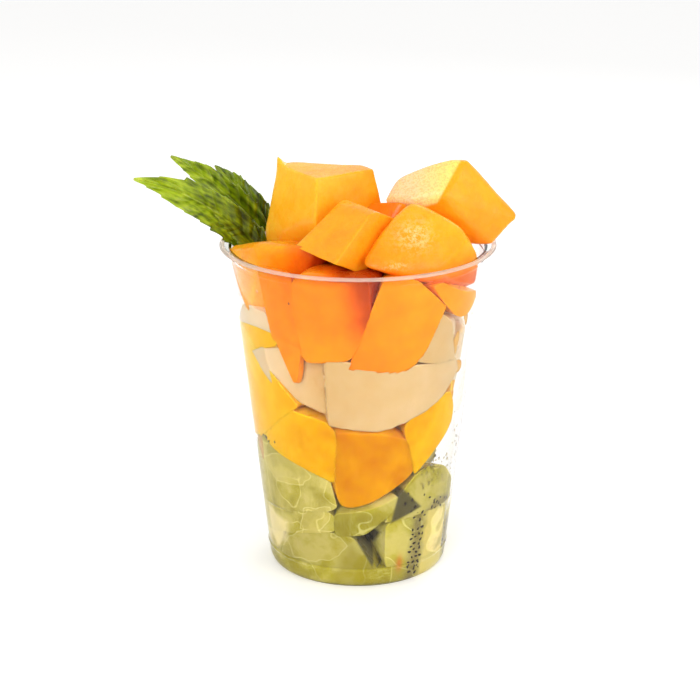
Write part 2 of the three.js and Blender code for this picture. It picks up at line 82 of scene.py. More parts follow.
def outer_radius(height):
    """The straight taper of the outside of the wall, from the table to the rim."""
    return (WALL_AT_TABLE + (WALL_AT_RIM - WALL_AT_TABLE) * height / CUP_HEIGHT) * MM


def inner_radius(height):
    """The outside of the wall less its thickness."""
    return outer_radius(height) - WALL


def mesh_piece(name, vertices, faces, finish):
    """A mesh object from an array of vertices and an array (or list) of faces, shaded smooth."""
    mesh = bpy.data.meshes.new(name)
    mesh.from_pydata(np.asarray(vertices).tolist(), [], [list(face) for face in faces])
    mesh.polygons.foreach_set("use_smooth", np.full(len(mesh.polygons), True))
    mesh.materials.append(finish)
    piece = bpy.data.objects.new(name, mesh)
    bpy.context.scene.collection.objects.link(piece)
    return piece


def turned(name, profile, turns, finish, closed=False):
    """A profile of (radius, height) points carried round the cup's axis: vertex (i, j) lies at angle
    2 pi i / turns, at radius r_j and height h_j. The ends of an open profile close on the axis."""
    profile = np.array(profile)
    angle = np.arange(turns) * 2 * np.pi / turns
    ring = profile if closed else profile[1:-1]
    points = np.stack(
        [
            cup_axis + np.outer(np.sin(angle), ring[:, 0]),
            -np.outer(np.cos(angle), ring[:, 0]),
            np.tile(ring[:, 1], (turns, 1)),
        ],
        axis=-1,
    ).reshape(-1, 3)
    count = len(ring)
    steps = count if closed else count - 1
    i, j = np.meshgrid(np.arange(turns), np.arange(steps), indexing="ij")
    after = (i + 1) % turns
    up = (j + 1) % count
    quads = np.stack([i * count + j, after * count + j, after * count + up, i * count + up], axis=-1)
    faces = quads.reshape(-1, 4).tolist()
    if not closed:
        poles = [[cup_axis, 0, profile[0, 1]], [cup_axis, 0, profile[-1, 1]]]
        pole = np.full(turns, len(points))
        points = np.vstack([points, poles])
        here = np.arange(turns) * count
        following = np.roll(here, -1)
        top = count - 1
        faces += np.stack([pole, following, here], axis=-1).tolist()
        faces += np.stack([pole + 1, here + top, following + top], axis=-1).tolist()
    return mesh_piece(name, points, faces, finish)


def rounded(start, end, bulge, steps=6):
    """Points of a quarter-ellipse-like bend from start to end, pulled towards the corner bulge:
    a quadratic Bezier curve (1-t)^2 start + 2t(1-t) bulge + t^2 end, its end left out."""
    t = np.linspace(0, 1, steps, endpoint=False)[:, None]
    start, end, bulge = map(np.array, (start, end, bulge))
    return ((1 - t) ** 2 * start + 2 * t * (1 - t) * bulge + t**2 * end).tolist()


def ridge(height, out, breadth):
    """A fine line raised round the wall: the taper plus out exp(-((h - height) / breadth)^2)."""
    heights = np.linspace(height - 1.2 * MM, height + 1.2 * MM, 11)
    return [[outer_radius(h) + out * np.exp(-(((h - height) / breadth) ** 2)), h] for h in heights]


def material(name):
    """A new node material: (material, its node tree, its Principled shader)."""
    made = bpy.data.materials.new(name)
    made.use_nodes = True
    return made, made.node_tree, made.node_tree.nodes["Principled BSDF"]


def add(tree, kind, inputs=None, **settings):
    """A shader node of a kind. Inputs map a socket's name or number to a value or to the socket
    that feeds it."""
    node = tree.nodes.new("ShaderNode" + kind)
    for setting, value in settings.items():
        setattr(node, setting, value)
    fill(tree, node, inputs or {})
    return node


def fill(tree, node, inputs):
    """Sets or links a node's inputs."""
    for key, value in inputs.items():
        if isinstance(value, bpy.types.NodeSocket):
            tree.links.new(value, node.inputs[key])
        else:
            node.inputs[key].default_value = value


clear_plastic, tree, plastic = material("clear_plastic")
fill(tree, plastic, {"Base Color": (0.985, 0.985, 0.98, 1), "Roughness": 0.03, "IOR": 1.25})
fill(tree, plastic, {"Specular IOR Level": 0.3, "Transmission Weight": 1.0})
# the light that falls on the fruit passes straight through the plastic
to_a_light = add(tree, "LightPath").outputs["Is Shadow Ray"]
seen_through = add(tree, "BsdfTransparent").outputs[0]
shell = add(tree, "MixShader", {0: to_a_light, 1: plastic.outputs[0], 2: seen_through})
tree.links.new(shell.outputs[0], tree.nodes["Material Output"].inputs["Surface"])

heel = outer_radius(HEEL_HEIGHT)
inner_heel = inner_radius(HEEL_HEIGHT + WALL)
recess = FOOT_RADIUS - 2 * MM
wall_out, wall_in = outer_radius(LIP_BOTTOM), inner_radius(LIP_BOTTOM)
bead_in = RIM_RADIUS - BEAD
inner_foot = [
    *rounded(
        [inner_heel, HEEL_HEIGHT + WALL - 0.01 * MM],
        [FOOT_RADIUS - WALL, WALL],
        [inner_heel - 0.1 * MM, WALL + 0.1 * MM],
        10,
    ),
    *rounded([FOOT_RADIUS - WALL, WALL], [recess - 1.2 * MM, BASE_RECESS + WALL], [recess, WALL]),
    [recess - 2.5 * MM, BASE_RECESS + WALL],
    [0, BASE_RECESS + WALL],
]
# from the middle of the base out to the foot, up the outside, out under the bead and back, and down
# the inside; the wall turns out under the bead in bends, because a sharp corner would shade dark
cup_profile = [
    [0, BASE_RECESS],
    [recess - 2 * MM, BASE_RECESS],
    *rounded([recess - 1.2 * MM, BASE_RECESS], [recess + 0.6 * MM, 0], [recess - 0.2 * MM, 0]),
    *rounded([FOOT_RADIUS, 0], [heel, HEEL_HEIGHT], [heel - 0.1 * MM, 0.1 * MM], 10),
    [heel, HEEL_HEIGHT],
    *ridge(LINE_HEIGHT, 0.3 * MM, 0.45 * MM),
    *[[outer_radius(h), h] for h in np.linspace(12 * MM, 110 * MM, 12)],
    *ridge(STACKING_LINE_HEIGHT, 0.25 * MM, 0.4 * MM),
    *rounded(
        [wall_out - 0.06 * MM, LIP_BOTTOM - 0.5 * MM],
        [wall_out + 0.6 * MM, LIP_BOTTOM + 0.05 * MM],
        [wall_out, LIP_BOTTOM],
    ),
    [wall_out + 0.6 * MM, LIP_BOTTOM + 0.05 * MM],
    [bead_in, LIP_BOTTOM + 0.2 * MM],
    *rounded(
        [bead_in + 0.2 * MM, LIP_BOTTOM + 0.25 * MM],
        [bead_in + 0.2 * MM, LIP_BOTTOM + 0.65 * MM],
        [bead_in + 0.5 * MM, LIP_BOTTOM + 0.45 * MM],
    ),
    [bead_in + 0.2 * MM, LIP_BOTTOM + 0.65 * MM],
    [bead_in, LIP_BOTTOM + 0.65 * MM],
    *rounded(
        [wall_in + 0.9 * MM, LIP_BOTTOM + 0.55 * MM],
        [wall_in - 0.1 * MM, LIP_BOTTOM - 0.6 * MM],
        [wall_in, LIP_BOTTOM + 0.5 * MM],
    ),
    *[[inner_radius(h), h] for h in np.linspace(LIP_BOTTOM - 2 * MM, HEEL_HEIGHT + WALL, 12)],
    *inner_foot,
]
cup = turned("cup_shell", cup_profile, TURNS, clear_plastic)

# The edge is rolled into a bead of the same plastic, thicker and clouded by the rolling; its
# peach tint is a painted reflection of the orange fruit.
lip_plastic, tree, plastic = material("lip_plastic")
fill(tree, plastic, {"Base Color": (1.0, 0.9, 0.81, 1), "Roughness": 0.3})
fill(tree, plastic, {"IOR": 1.18, "Transmission Weight": 0.75})
bead_out, bead_top = RIM_RADIUS, CUP_HEIGHT
lip_profile = [
    *rounded(
        [bead_in, LIP_BOTTOM],
        [bead_out, LIP_BOTTOM + 0.5 * MM],
        [bead_out - 0.3 * MM, LIP_BOTTOM - 0.1 * MM],
    ),
    *rounded([bead_out, LIP_BOTTOM + 0.5 * MM], [bead_out - 0.8 * MM, bead_top], [bead_out, bead_top]),
    *rounded([bead_out - 0.8 * MM, bead_top], [bead_in, bead_top - 0.5 * MM], [bead_in, bead_top]),
    [bead_in, bead_top - 0.5 * MM],
]
cup_lip = turned("cup_lip", lip_profile, TURNS, lip_plastic, closed=True)

for piece in (cup, cup_lip):
    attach(piece, "root")
    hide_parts("cup")

# ---- the kiwi ----
# Peeled kiwi cut into thick chunks, the lowest layer: pale core, a ring of small dark seeds in fine
# rays, and translucent yellow green flesh outside it. The chunks lie pressed and wet to the wall.

# how deep each fruit's contact patches reach into the wall, so that the upper ones cover the lower,
# and the small further step that keeps two chunks of one fruit apart
PRESSED = {"kiwi": 0.04 * MM, "mango": 0.055 * MM, "melon": 0.07 * MM, "papaya": 0.085 * MM}
PRESSED_STEP = 0.0007 * MM
PRESSED_STEPS = 11
# how many random values there are along each side of the lattice, and how far it is shifted
LATTICE = 24
LATTICE_SHIFT = 7.3


def noise(points, size, seed):
    """Smooth noise from -1 to 1: random values on a cubic lattice of the given spacing, blended
    along each axis with the weight 3f^2 - 2f^3 of the place f within its cell."""
    values = np.random.default_rng(seed).uniform(-1, 1, (LATTICE, LATTICE, LATTICE))
    place = points / size + LATTICE_SHIFT
    cell = np.floor(place).astype(int)
    share = place - cell
    share = share**2 * (3 - 2 * share)
    total = np.zeros(len(points))
    for corner in product((0, 1), repeat=3):
        weight = np.prod(np.where(corner, share, 1 - share), axis=1)
        total += weight * values[tuple(((cell + corner) % LATTICE).T)]
    return total


def cube_grid(steps):
    """A closed grid on the faces of a cube, evened out by the tangent of the angle: unit directions
    and the quads between them."""
    line = np.tan(np.linspace(-1, 1, steps + 1) * np.pi / 4)
    a, b = np.meshgrid(line, line, indexing="ij")
    points, faces = [], []
    i, j = np.meshgrid(np.arange(steps), np.arange(steps), indexing="ij")
    corner = i * (steps + 1) + j
    quad = np.stack([corner, corner + steps + 1, corner + steps + 2, corner + 1], -1).reshape(-1, 4)
    for axis, side in product(range(3), (-1, 1)):
        face = np.empty((a.size, 3))
        face[:, axis] = side
        face[:, (axis + 1) % 3] = a.ravel()
        face[:, (axis + 2) % 3] = b.ravel()
        points.append(face)
        faces.append((quad if side > 0 else quad[:, ::-1]) + len(faces) * a.size)
    points = np.vstack(points)
    _, kept, index = np.unique(np.round(points, 6), axis=0, return_index=True, return_inverse=True)
    directions = points[kept] / np.linalg.norm(points[kept], axis=1)[:, None]
    return directions, index.ravel()[np.vstack(faces)]


GRIDS = {steps: cube_grid(steps) for steps in (26, 44, 60)}

HEEL_BEND = 1.5 * MM
INNER_FLOOR = BASE_RECESS + WALL
WALL_SLOPE = (WALL_AT_RIM - WALL_AT_TABLE) * MM / CUP_HEIGHT
# a face of a chunk's solid that starts below the rim lies along the wall, or on the base, when it is
# nearer than this; a triangle smaller than a sliver is left out, and faces this close are one
BELOW_RIM = 118 * MM
ALONG_WALL = 2.3 * MM
ON_BASE = 2 * MM
SLIVER = 0.4 * MM**2
ONE_PLANE = 0.1 * MM


def wall_distance(points):
    """How far points are inside the inner face of the cup: the soft minimum b log(sum exp(-d / b))
    of their distances from the wall and from the floor, so that the two meet in a bend."""
    to_wall = inner_radius(points[:, 2]) - np.hypot(points[:, 0] - cup_axis, points[:, 1])
    to_floor = points[:, 2] - INNER_FLOOR
    return -HEEL_BEND * np.logaddexp(-to_wall / HEEL_BEND, -to_floor / HEEL_BEND)


def vertices_of(mesh):
    """A mesh's vertices as an array of points."""
    points = np.empty(len(mesh.vertices) * 3)
    mesh.vertices.foreach_get("co", points)
    return points.reshape(-1, 3)


def planes_of(node, smallest):
    """The flat faces of a chunk's solid, each as a normal n and an offset d with n.x = d, one for
    each direction and none smaller than a share of the largest, and the solid's corners. The faces
    that lie along the cup's wall are left out: the wall's cone takes their place."""
    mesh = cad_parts[node].data
    corners = vertices_of(mesh)
    mesh.calc_loop_triangles()
    triangles = np.empty(len(mesh.loop_triangles) * 3, int)
    mesh.loop_triangles.foreach_get("vertices", triangles)
    triangle = corners[triangles.reshape(-1, 3)]
    cross = np.cross(triangle[:, 1] - triangle[:, 0], triangle[:, 2] - triangle[:, 0])
    area = np.linalg.norm(cross, axis=1)
    order = np.argsort(-area)
    order = order[area[order] > SLIVER]
    normal = cross[order] / area[order, None]
    offset = np.einsum("ij,ij->i", normal, triangle[order, 0])
    reach = wall_distance(triangle[order].reshape(-1, 3)).reshape(-1, 3).max(axis=1)
    height = triangle[order, :, 2].min(axis=1)
    outwards = triangle[order].mean(axis=1)[:, :2] - [cup_axis, 0]
    outwards /= np.linalg.norm(outwards, axis=1)[:, None]
    facing_wall = np.einsum("ij,ij->i", normal[:, :2], outwards) > 0.5
    facing_floor = (normal[:, 2] < -0.5) & (height < INNER_FLOOR + ON_BASE)
    on_wall = ((facing_wall & (reach < ALONG_WALL)) | facing_floor) & (height < BELOW_RIM)
    kept = []
    extent = []
    for k in np.flatnonzero(~on_wall):
        same = (normal[kept] @ normal[k] > 0.9995) & (np.abs(offset[kept] - offset[k]) < ONE_PLANE)
        if same.any():
            extent[int(np.argmax(same))] += area[order[k]]
        else:
            kept.append(k)
            extent.append(area[order[k]])
    large = np.array(extent) > smallest * max(extent)
    return normal[kept][large], offset[kept][large], corners, on_wall.any()


def chunk_field(points, normal, offset, rounding, pressed):
    """The soft maximum r log(sum exp(g_k / r)) of the distances g_k outside each face, with its
    gradient, or the distance outside the cup's inner face plus pressed where that is greater. Its
    zero is the chunk with edges rounded by about r. No cup is there for a piece that is not pressed."""
    distance = (points @ normal.T - offset) / rounding
    top = distance.max(axis=1)
    weight = np.exp(distance - top[:, None])
    total = weight.sum(axis=1)
    flat = rounding * (top + np.log(total))
    gradient = (weight / total[:, None]) @ normal
    if pressed is None:
        return flat, gradient
    bent = -wall_distance(points) - pressed
    to_wall = inner_radius(points[:, 2]) - np.hypot(points[:, 0] - cup_axis, points[:, 1])
    share = 1 / (1 + np.exp(np.clip((to_wall - points[:, 2] + INNER_FLOOR) / HEEL_BEND, -30, 30)))
    away = points[:, :2] - [cup_axis, 0]
    away = away / np.maximum(np.linalg.norm(away, axis=1), MM)[:, None]
    out = np.column_stack([away * share[:, None], -share * WALL_SLOPE - (1 - share)])
    touching = bent > flat
    return np.where(touching, bent, flat), np.where(touching[:, None], out, gradient)


def deepest_point(normal, offset, corners, pressed):
    """A point far from every face and from the wall, and how far: from the mean of the corners,
    steps against the gradient of a nearly sharp field, each shorter than the last."""
    point = corners.mean(axis=0)[None]
    for step in 1.5 * MM * 0.93 ** np.arange(70):
        value, gradient = chunk_field(point, normal, offset, 0.05 * MM, pressed)
        point = point - step * gradient
    return point[0], -value[0]


# where the search for a chunk's surface starts at the farthest, how far off the wall a chunk in the
# middle stays, and the sizes of the unevenness of the flesh
FARTHEST = 80 * MM
CORE_GAP = 0.3 * MM
NEWTON_STEPS = 12
LUMPS, GRAINS = 7 * MM, 2.2 * MM
# the flesh is wet this near the wall, and uneven from here on inwards, over so much
WETTED = (0.05 * MM, 0.5 * MM)
UNEVEN = (0.1 * MM, 1.2 * MM)
BELOW_BOX = 0.05 * MM


def chunk(
    name,
    finish,
    steps=44,
    rounding=0.5,
    relief=0.2,
    smallest=0.06,
    swollen=0.3,
    reach=(),
    horns=(),
    confined=False,
    **fields,
):
    """A chunk of fruit: along each direction w of the grid, the point centre + t w where the chunk's
    field is zero, found by Newton's steps from outside, then moved out and in by noise except where
    it is pressed to the wall. Faces n grow by swollen, and for each direction w of reach by so much
    times (n.w)^2. Fields are values or vectors stored at its vertices."""
    fruit = name.split("_")[0]
    normal, offset, corners, walled = planes_of(name, smallest)
    seed = sum(map(ord, name))
    pressed = -CORE_GAP if confined else None
    if walled:
        pressed = PRESSED[fruit] + PRESSED_STEP * (seed % PRESSED_STEPS)
    centre, depth = deepest_point(normal, offset, corners, pressed)
    rounding = min(rounding, 0.2 * depth / MM)
    offset = offset + swollen * MM
    for direction, further in reach:
        unit = np.array(direction) / np.linalg.norm(direction)
        offset = offset + further * MM * np.clip(normal @ unit, 0, 1) ** 2
    _, axes = np.linalg.eigh(np.cov((corners - centre).T))
    half = np.abs((corners - centre) @ axes).max(axis=0)
    directions, faces = GRIDS[steps]
    rays = (directions * half) @ axes.T
    rays /= np.linalg.norm(rays, axis=1)[:, None]
    if np.linalg.det(axes) < 0:
        faces = faces[:, ::-1]
    rate = rays @ normal.T
    ahead = np.where(rate > 1e-6, (offset - normal @ centre) / np.where(rate > 1e-6, rate, 1), np.inf)
    t = np.minimum(ahead.min(axis=1), FARTHEST)
    for _ in range(NEWTON_STEPS):
        value, gradient = chunk_field(centre + t[:, None] * rays, normal, offset, rounding * MM, pressed)
        t = t - value / np.maximum(np.einsum("ij,ij->i", gradient, rays), 0.05)
    points = centre + t[:, None] * rays
    _, gradient = chunk_field(points, normal, offset, rounding * MM, pressed)
    gradient /= np.linalg.norm(gradient, axis=1)[:, None]
    inside = wall_distance(points)
    free = np.clip((inside - UNEVEN[0]) / UNEVEN[1], 0, 1) if walled else np.ones(len(points))
    swell = relief * (0.75 * noise(points, LUMPS, seed) + 0.25 * noise(points, GRAINS, seed + 1)) - relief
    points = points + (free * swell * MM)[:, None] * gradient
    for root, tip, width in horns:
        near = np.exp(-((np.linalg.norm(points - root, axis=1) / (width * MM)) ** 2))
        points = points + near[:, None] * (tip - root)
    points[:, 2] = np.minimum(points[:, 2], cad_box[1][2] - BELOW_BOX)
    piece = mesh_piece("chunk_" + name, points, faces, finish)
    wet = np.clip(1 - (inside - WETTED[0]) / WETTED[1], 0, 1) if walled else 0 * inside
    store(piece, "wetted", wet)
    for field, value in fields.items():
        store(piece, field, value(points) if callable(value) else value)
    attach(piece, "root")
    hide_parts(name)
    return piece


def store(piece, name, values):
    """Keeps a number or a vector for each vertex under a name that materials read."""
    vertices = len(piece.data.vertices)
    values = np.broadcast_to(values, (vertices,) if np.ndim(values) < 2 else (vertices, 3))
    kind, key = ("FLOAT", "value") if values.ndim == 1 else ("FLOAT_VECTOR", "vector")
    kept = piece.data.attributes.new(name, kind, "POINT")
    kept.data.foreach_set(key, values.astype(np.float32).ravel())


def at_wall(angle, height, inset=0):
    """A place in the cup: degrees from the front towards the right, millimetres up, and in from
    the wall."""
    turn = np.radians(angle)
    radius = inner_radius(height * MM) - inset * MM
    return np.array([cup_axis + radius * np.sin(turn), -radius * np.cos(turn), height * MM])


def fruit_frame(middle, axis, towards, scale=1):
    """Where points lie in a fruit, in millimetres of a fruit of ordinary size: across its axis along
    two directions and along the axis, from a point on the axis."""
    axis = np.array(axis, float)
    axis /= np.linalg.norm(axis)
    first = np.array(towards, float) - np.dot(towards, axis) * axis
    first /= np.linalg.norm(first)
    rows = np.array([first, np.cross(axis, first), axis])
    return lambda points: (points - middle) @ rows.T / (MM * scale)


def group(name, inputs, outputs):
    """A new shader node group with named sockets: (group, its input node, its output node)."""
    made = bpy.data.node_groups.new(name, "ShaderNodeTree")
    for socket, kind, value in inputs:
        item = made.interface.new_socket(socket, in_out="INPUT", socket_type=kind)
        item.default_value = value
    for socket, kind in outputs:
        made.interface.new_socket(socket, in_out="OUTPUT", socket_type=kind)
    return made, made.nodes.new("NodeGroupInput"), made.nodes.new("NodeGroupOutput")


def attribute(tree, name, output="Fac"):
    """What the vertices store under a name, as a number or as a vector."""
    return add(tree, "Attribute", attribute_name=name).outputs[output]


def object_place(tree):
    """A place on the piece, in metres."""
    return add(tree, "TexCoord").outputs["Object"]


def speckle(tree, place, scale, detail, roughness=0.5):
    """Noise from 0 to 1 over a place."""
    inputs = {"Vector": place, "Scale": scale, "Detail": detail, "Roughness": roughness}
    return add(tree, "TexNoise", inputs).outputs["Fac"]


def ranged(tree, factor, low, high, start=0.0, end=1.0):
    """A number that goes from start to end while a factor goes from low to high."""
    return add(tree, "MapRange", {0: factor, 1: low, 2: high, 3: start, 4: end}).outputs[0]


def maths(tree, operation, *values):
    """The result of one sum on numbers or sockets."""
    return add(tree, "Math", dict(enumerate(values)), operation=operation).outputs[0]


def times(tree, first, second):
    """Two numbers or sockets multiplied."""
    return maths(tree, "MULTIPLY", first, second)


def stretched(tree, place, factors):
    """A place multiplied by a factor along each axis."""
    return add(tree, "VectorMath", {0: place, 1: factors}, operation="MULTIPLY").outputs[0]


FLOAT, VECTOR = "NodeSocketFloat", "NodeSocketVector"

# The surface that every cut fruit shares: cells and pits in the flesh, a broad mottle, and a gloss
# that breaks up where juice lies and goes where the flesh is stuck to the wall.
cut_flesh, given, result = group(
    "cut_flesh",
    [
        ("Cells per metre", FLOAT, 900.0),
        ("Stretch", VECTOR, (1.0, 1.0, 1.0)),
        ("Depth", FLOAT, 0.3),
        ("Dry roughness", FLOAT, 0.45),
    ],
    [("Mottle", FLOAT), ("Cells", FLOAT), ("Roughness", FLOAT), ("Normal", VECTOR)],
)
place = object_place(cut_flesh)
grain = stretched(cut_flesh, place, given.outputs["Stretch"])
cells = speckle(cut_flesh, grain, given.outputs["Cells per metre"], 4.0, 0.6)
juicy = ranged(cut_flesh, speckle(cut_flesh, place, 260.0, 2.0), 0.4, 0.62)
gloss = ranged(cut_flesh, juicy, 0.0, 1.0, given.outputs["Dry roughness"], 0.2)
relief = add(cut_flesh, "Bump", {"Strength": given.outputs["Depth"], "Distance": 0.0004, "Height": cells})
fill(
    cut_flesh,
    result,
    {
        "Mottle": speckle(cut_flesh, place, 110.0, 3.0, 0.55),
        "Cells": cells,
        "Roughness": maths(cut_flesh, "MULTIPLY_ADD", attribute(cut_flesh, "wetted"), 0.55, gloss),
        "Normal": relief.outputs[0],
    },
)


def light_of(colour):
    """Linear light from a 0 to 255 display colour: (c / 255) ^ 2.2."""
    return (*((c / 255) ** 2.2 for c in colour), 1)


def ramp(tree, factor, stops, interpolation="B_SPLINE"):
    """A colour ramp through (place, colour) stops, colours given as 0 to 255."""
    node = add(tree, "ValToRGB", {0: factor})
    node.color_ramp.interpolation = interpolation
    elements = node.color_ramp.elements
    while len(elements) < len(stops):
        elements.new(1.0)
    for element, (where, colour) in zip(elements, stops):
        element.position = where
        element.color = light_of(colour)
    return node.outputs["Color"]


def mix(tree, factor, first, second):
    """Two colours mixed by a factor, each a socket or a 0 to 255 display colour."""
    first, second = (c if isinstance(c, bpy.types.NodeSocket) else light_of(c) for c in (first, second))
    return add(tree, "Mix", {0: factor, 6: first, 7: second}, data_type="RGBA").outputs[2]


def flesh(name, radius, weight, coat, cells, depth, dry=0.45, stretch=(1, 1, 1)):
    """A fruit's material with its shared surface and its light scattering below the surface:
    (material, tree, shader, shared surface)."""
    made, tree, shader = material(name)
    given = {"Cells per metre": cells, "Depth": depth, "Dry roughness": dry, "Stretch": stretch}
    surface = add(tree, "Group", node_tree=cut_flesh)
    fill(tree, surface, given)
    fill(
        tree,
        shader,
        {
            "Roughness": surface.outputs["Roughness"],
            "Normal": surface.outputs["Normal"],
            "IOR": 1.33,
            "Specular IOR Level": 0.35,
            "Subsurface Weight": weight,
            "Subsurface Radius": radius,
            "Subsurface Scale": 0.004,
            "Coat Weight": coat,
            "Coat Roughness": 0.15,
            "Coat IOR": 1.34,
        },
    )
    return made, tree, shader, surface


def off(tree, value, line):
    """How far a value is from a line, whichever side it is on."""
    return maths(tree, "ABSOLUTE", maths(tree, "SUBTRACT", value, line))


# millimetres from the core in which the seeds sit, and out to the skin
SEED_RING = (6.2, 10.2)
TO_SKIN = 22.0
kiwi_flesh, tree, shader, surface = flesh("kiwi_flesh", (0.8, 0.75, 0.15), 0.4, 0.15, 1300.0, 0.25)
fruit = attribute(tree, "fruit", "Vector")
across, aside, along = add(tree, "SeparateXYZ", {0: fruit}).outputs
flat = add(tree, "CombineXYZ", {0: across, 1: aside}).outputs[0]
from_core = add(tree, "VectorMath", {0: flat}, operation="LENGTH").outputs["Value"]
# from the core to the skin, wandering by up to 1.5 mm either way
ring = maths(tree, "MULTIPLY_ADD", speckle(tree, fruit, 0.22, 2.0), 3.0, from_core)
ring = maths(tree, "DIVIDE", maths(tree, "SUBTRACT", ring, 1.5), TO_SKIN)
colour = ramp(
    tree,
    ring,
    [
        (0.0, (252, 230, 160)),
        (0.21, (248, 222, 146)),
        (0.28, (206, 188, 118)),
        (0.36, (166, 156, 92)),
        (0.52, (176, 166, 82)),
        (0.72, (186, 174, 84)),
        (0.9, (172, 160, 58)),
        (1.0, (154, 142, 44)),
    ],
    "EASE",
)
bearing = times(tree, maths(tree, "ARCTAN2", aside, across), 16.0)
fan = {0: bearing, 1: times(tree, along, 1.6), 2: times(tree, from_core, 0.12)}
rays = speckle(tree, add(tree, "CombineXYZ", fan).outputs[0], 1.0, 2.0)
contact = speckle(tree, fruit, 0.07, 1.0)
clouds = speckle(tree, fruit, 0.09, 6.0)
wet = attribute(tree, "wetted")
film = attribute(tree, "film")
for share, over in [
    # fine pale rays run out from the core through the seeds
    (ranged(tree, rays, 0.45, 0.7, 0.0, 0.35), (214, 206, 120)),
    (attribute(tree, "milky"), (214, 198, 120)),
    # where the flesh lies flat on the wall it shows deep and wet, elsewhere a milky film of juice is
    # between, and a fine painted highlight runs along the meeting of the two
    (times(tree, ranged(tree, contact, 0.5, 0.515, 0.0, 0.45), wet), (176, 162, 26)),
    (times(tree, ranged(tree, off(tree, contact, 0.5), 0.003, 0.008, 0.55, 0.0), wet), (244, 236, 150)),
    (times(tree, surface.outputs["Mottle"], 0.3), (190, 180, 66)),
    (ranged(tree, clouds, 0.4, 0.49, 0.5, 0.0), (146, 132, 40)),
    (ranged(tree, clouds, 0.5, 0.6, 0.0, 0.55), (214, 200, 122)),
    # films of juice, a place where the core shows, a place soaked with juice, and a painted highlight
    # along the edge of the films
    (ranged(tree, film, 0.45, 0.55, 0.0, 0.32), (214, 197, 112)),
    (attribute(tree, "cored"), (246, 228, 168)),
    (times(tree, attribute(tree, "soaked"), 0.6), (150, 136, 26)),
    (ranged(tree, off(tree, film, 0.5), 0.03, 0.13, 0.4, 0.0), (238, 230, 160)),
    # the ring where the seeds sit is a dark band round the core
    (ranged(tree, off(tree, ring, 0.375), 0.03, 0.15, 0.62, 0.0), (104, 90, 66)),
    # chunks set back from the wall and the gaps between the chunks get painted shade, and one has
    # an orange juice stain
    (attribute(tree, "dim"), (84, 78, 54)),
    (attribute(tree, "stain"), (206, 112, 52)),
]:
    colour = mix(tree, share, colour, over)
fill(tree, shader, {"Base Color": colour})

UP, DOWN, RIGHT, LEFT = (0, 0, 1), (0, 0, -1), (1, 0, 0), (-1, 0, 0)
UNDER_MANGO = ("kiwi_upper_left", "kiwi_middle")
# the core's place and direction in each chunk, the fruit's size, how milky the chunk looks, how
# much painted shade darkens it, and how far it swells
kiwi_chunks = {
    "kiwi_base_left": (at_wall(-20, 4, 18), (0.1, 0.25, 1), 1, 0.0, 0.16, 1.0),
    "kiwi_base_right": (at_wall(57, 8, 0), (0.06, 0, 1), 1.3, 0, 0, 1.0),
    "kiwi_upper_right": (at_wall(57, 20, 0), (0.84, -0.54, 0.1), 1, 0.15, 0.1, 1.2),
    "kiwi_middle": (at_wall(0, 46, 14), (1, 0, 0.2), 1, 0, 0.12, 0.6),
    "kiwi_upper_left": (at_wall(-50, 62, 12), (1, 0.3, 0), 1, 0.5, 0, 2.2),
    "kiwi_middle_left": (at_wall(-50, 42, 12), (1, 0.2, -0.1), 1, 0.45, 0, 2.4),
    "kiwi_core_left": (at_wall(-68, 17, 1), (0.93, 0.37, 0.1), 1.6, 0.3, 0, 1.4),
    "kiwi_set_back": (at_wall(14, 10, 14), (0.1, 1, 0.1), 1, 0, 0.45, 3.0),
}


def behind(fruit, listed):
    """The names of a fruit's chunks that no table lists, at the sides, at the back and in the
    middle."""
    return sorted(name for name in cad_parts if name.startswith(fruit) and name not in listed)


def stained_at(points):
    """The orange stain, low down where the seeds stop: a soft spot 1.2 mm wide and 3 mm tall."""
    away = (points - at_wall(27, 8.5)) / MM
    return 0.8 * np.exp(-((np.hypot(away[:, 0], away[:, 1]) / 1.2) ** 2) - (away[:, 2] / 3) ** 2)


# millimetres along the wall for each radian
ROUND_THE_WALL = 35


def bearing_of(points):
    """How far round the cup's axis points are, in radians from the front towards the right."""
    return np.arctan2(points[:, 0] - cup_axis, -points[:, 1])


def within(points, corners, soft, uneven=0.0):
    """A patch on the wall with corners in millimetres along it and up, listed against the clock: 1
    inside, 0 outside and 0.5 on an outline that noise moves to and fro. It takes the least of the
    distances inside each edge."""
    along = ROUND_THE_WALL * bearing_of(points) + uneven * noise(points, 3 * MM, 17)
    up = points[:, 2] / MM + uneven * noise(points, 2.4 * MM, 18)
    inside = np.full(len(points), np.inf)
    for (x, y), (next_x, next_y) in zip(corners, corners[1:] + corners[:1]):
        length = np.hypot(next_x - x, next_y - y)
        distance = ((next_x - x) * (up - y) - (next_y - y) * (along - x)) / length
        inside = np.minimum(inside, distance)
    return 0.5 + 0.5 * np.clip(inside / soft, -1, 1)


# the places between the chunks that get painted shade, the milky films of juice that lie against
# the wall, and the places where the core shows and where the flesh is soaked with juice
GAPS = [
    [(12.0, 25.5), (24.5, 29.5), (15.0, 39.5)],
    [(5.5, 8.3), (9.3, 20.9), (-1.5, 20.3)],
]
FILMS = [
    [
        (-36, 7.5), (-20, 8.9), (-11, 10.5), (-7, 13), (-4.5, 17),
        (-6, 20.2), (-10, 22.4), (-21, 21.3), (-30, 16.2),
    ],
    [(-32.7, 37.3), (-19.6, 38.7), (-16.2, 43.9), (-26.5, 50.6), (-41.2, 43.6)],
    [(-22.5, 21.6), (-15.6, 21.0), (-10.1, 27.1), (-10.3, 32.5), (-20.4, 29.4)],
]
CORED = [(-43, 13), (-37, 10), (-31, 15), (-29, 21.5), (-42, 25)]
SOAKED = [(-15, 0), (9, 0), (4, 9), (0.5, 14), (-3, 21), (-6.5, 12.5)]


def dim_places(points):
    """How much painted shade a place gets for lying in one of the gaps."""
    return 0.95 * np.max([within(points, gap, 0.5) for gap in GAPS], axis=0)


def filmed(points):
    """How far a place is inside one of the films."""
    return np.max([within(points, film, 1.0, 0.7) for film in FILMS], axis=0)


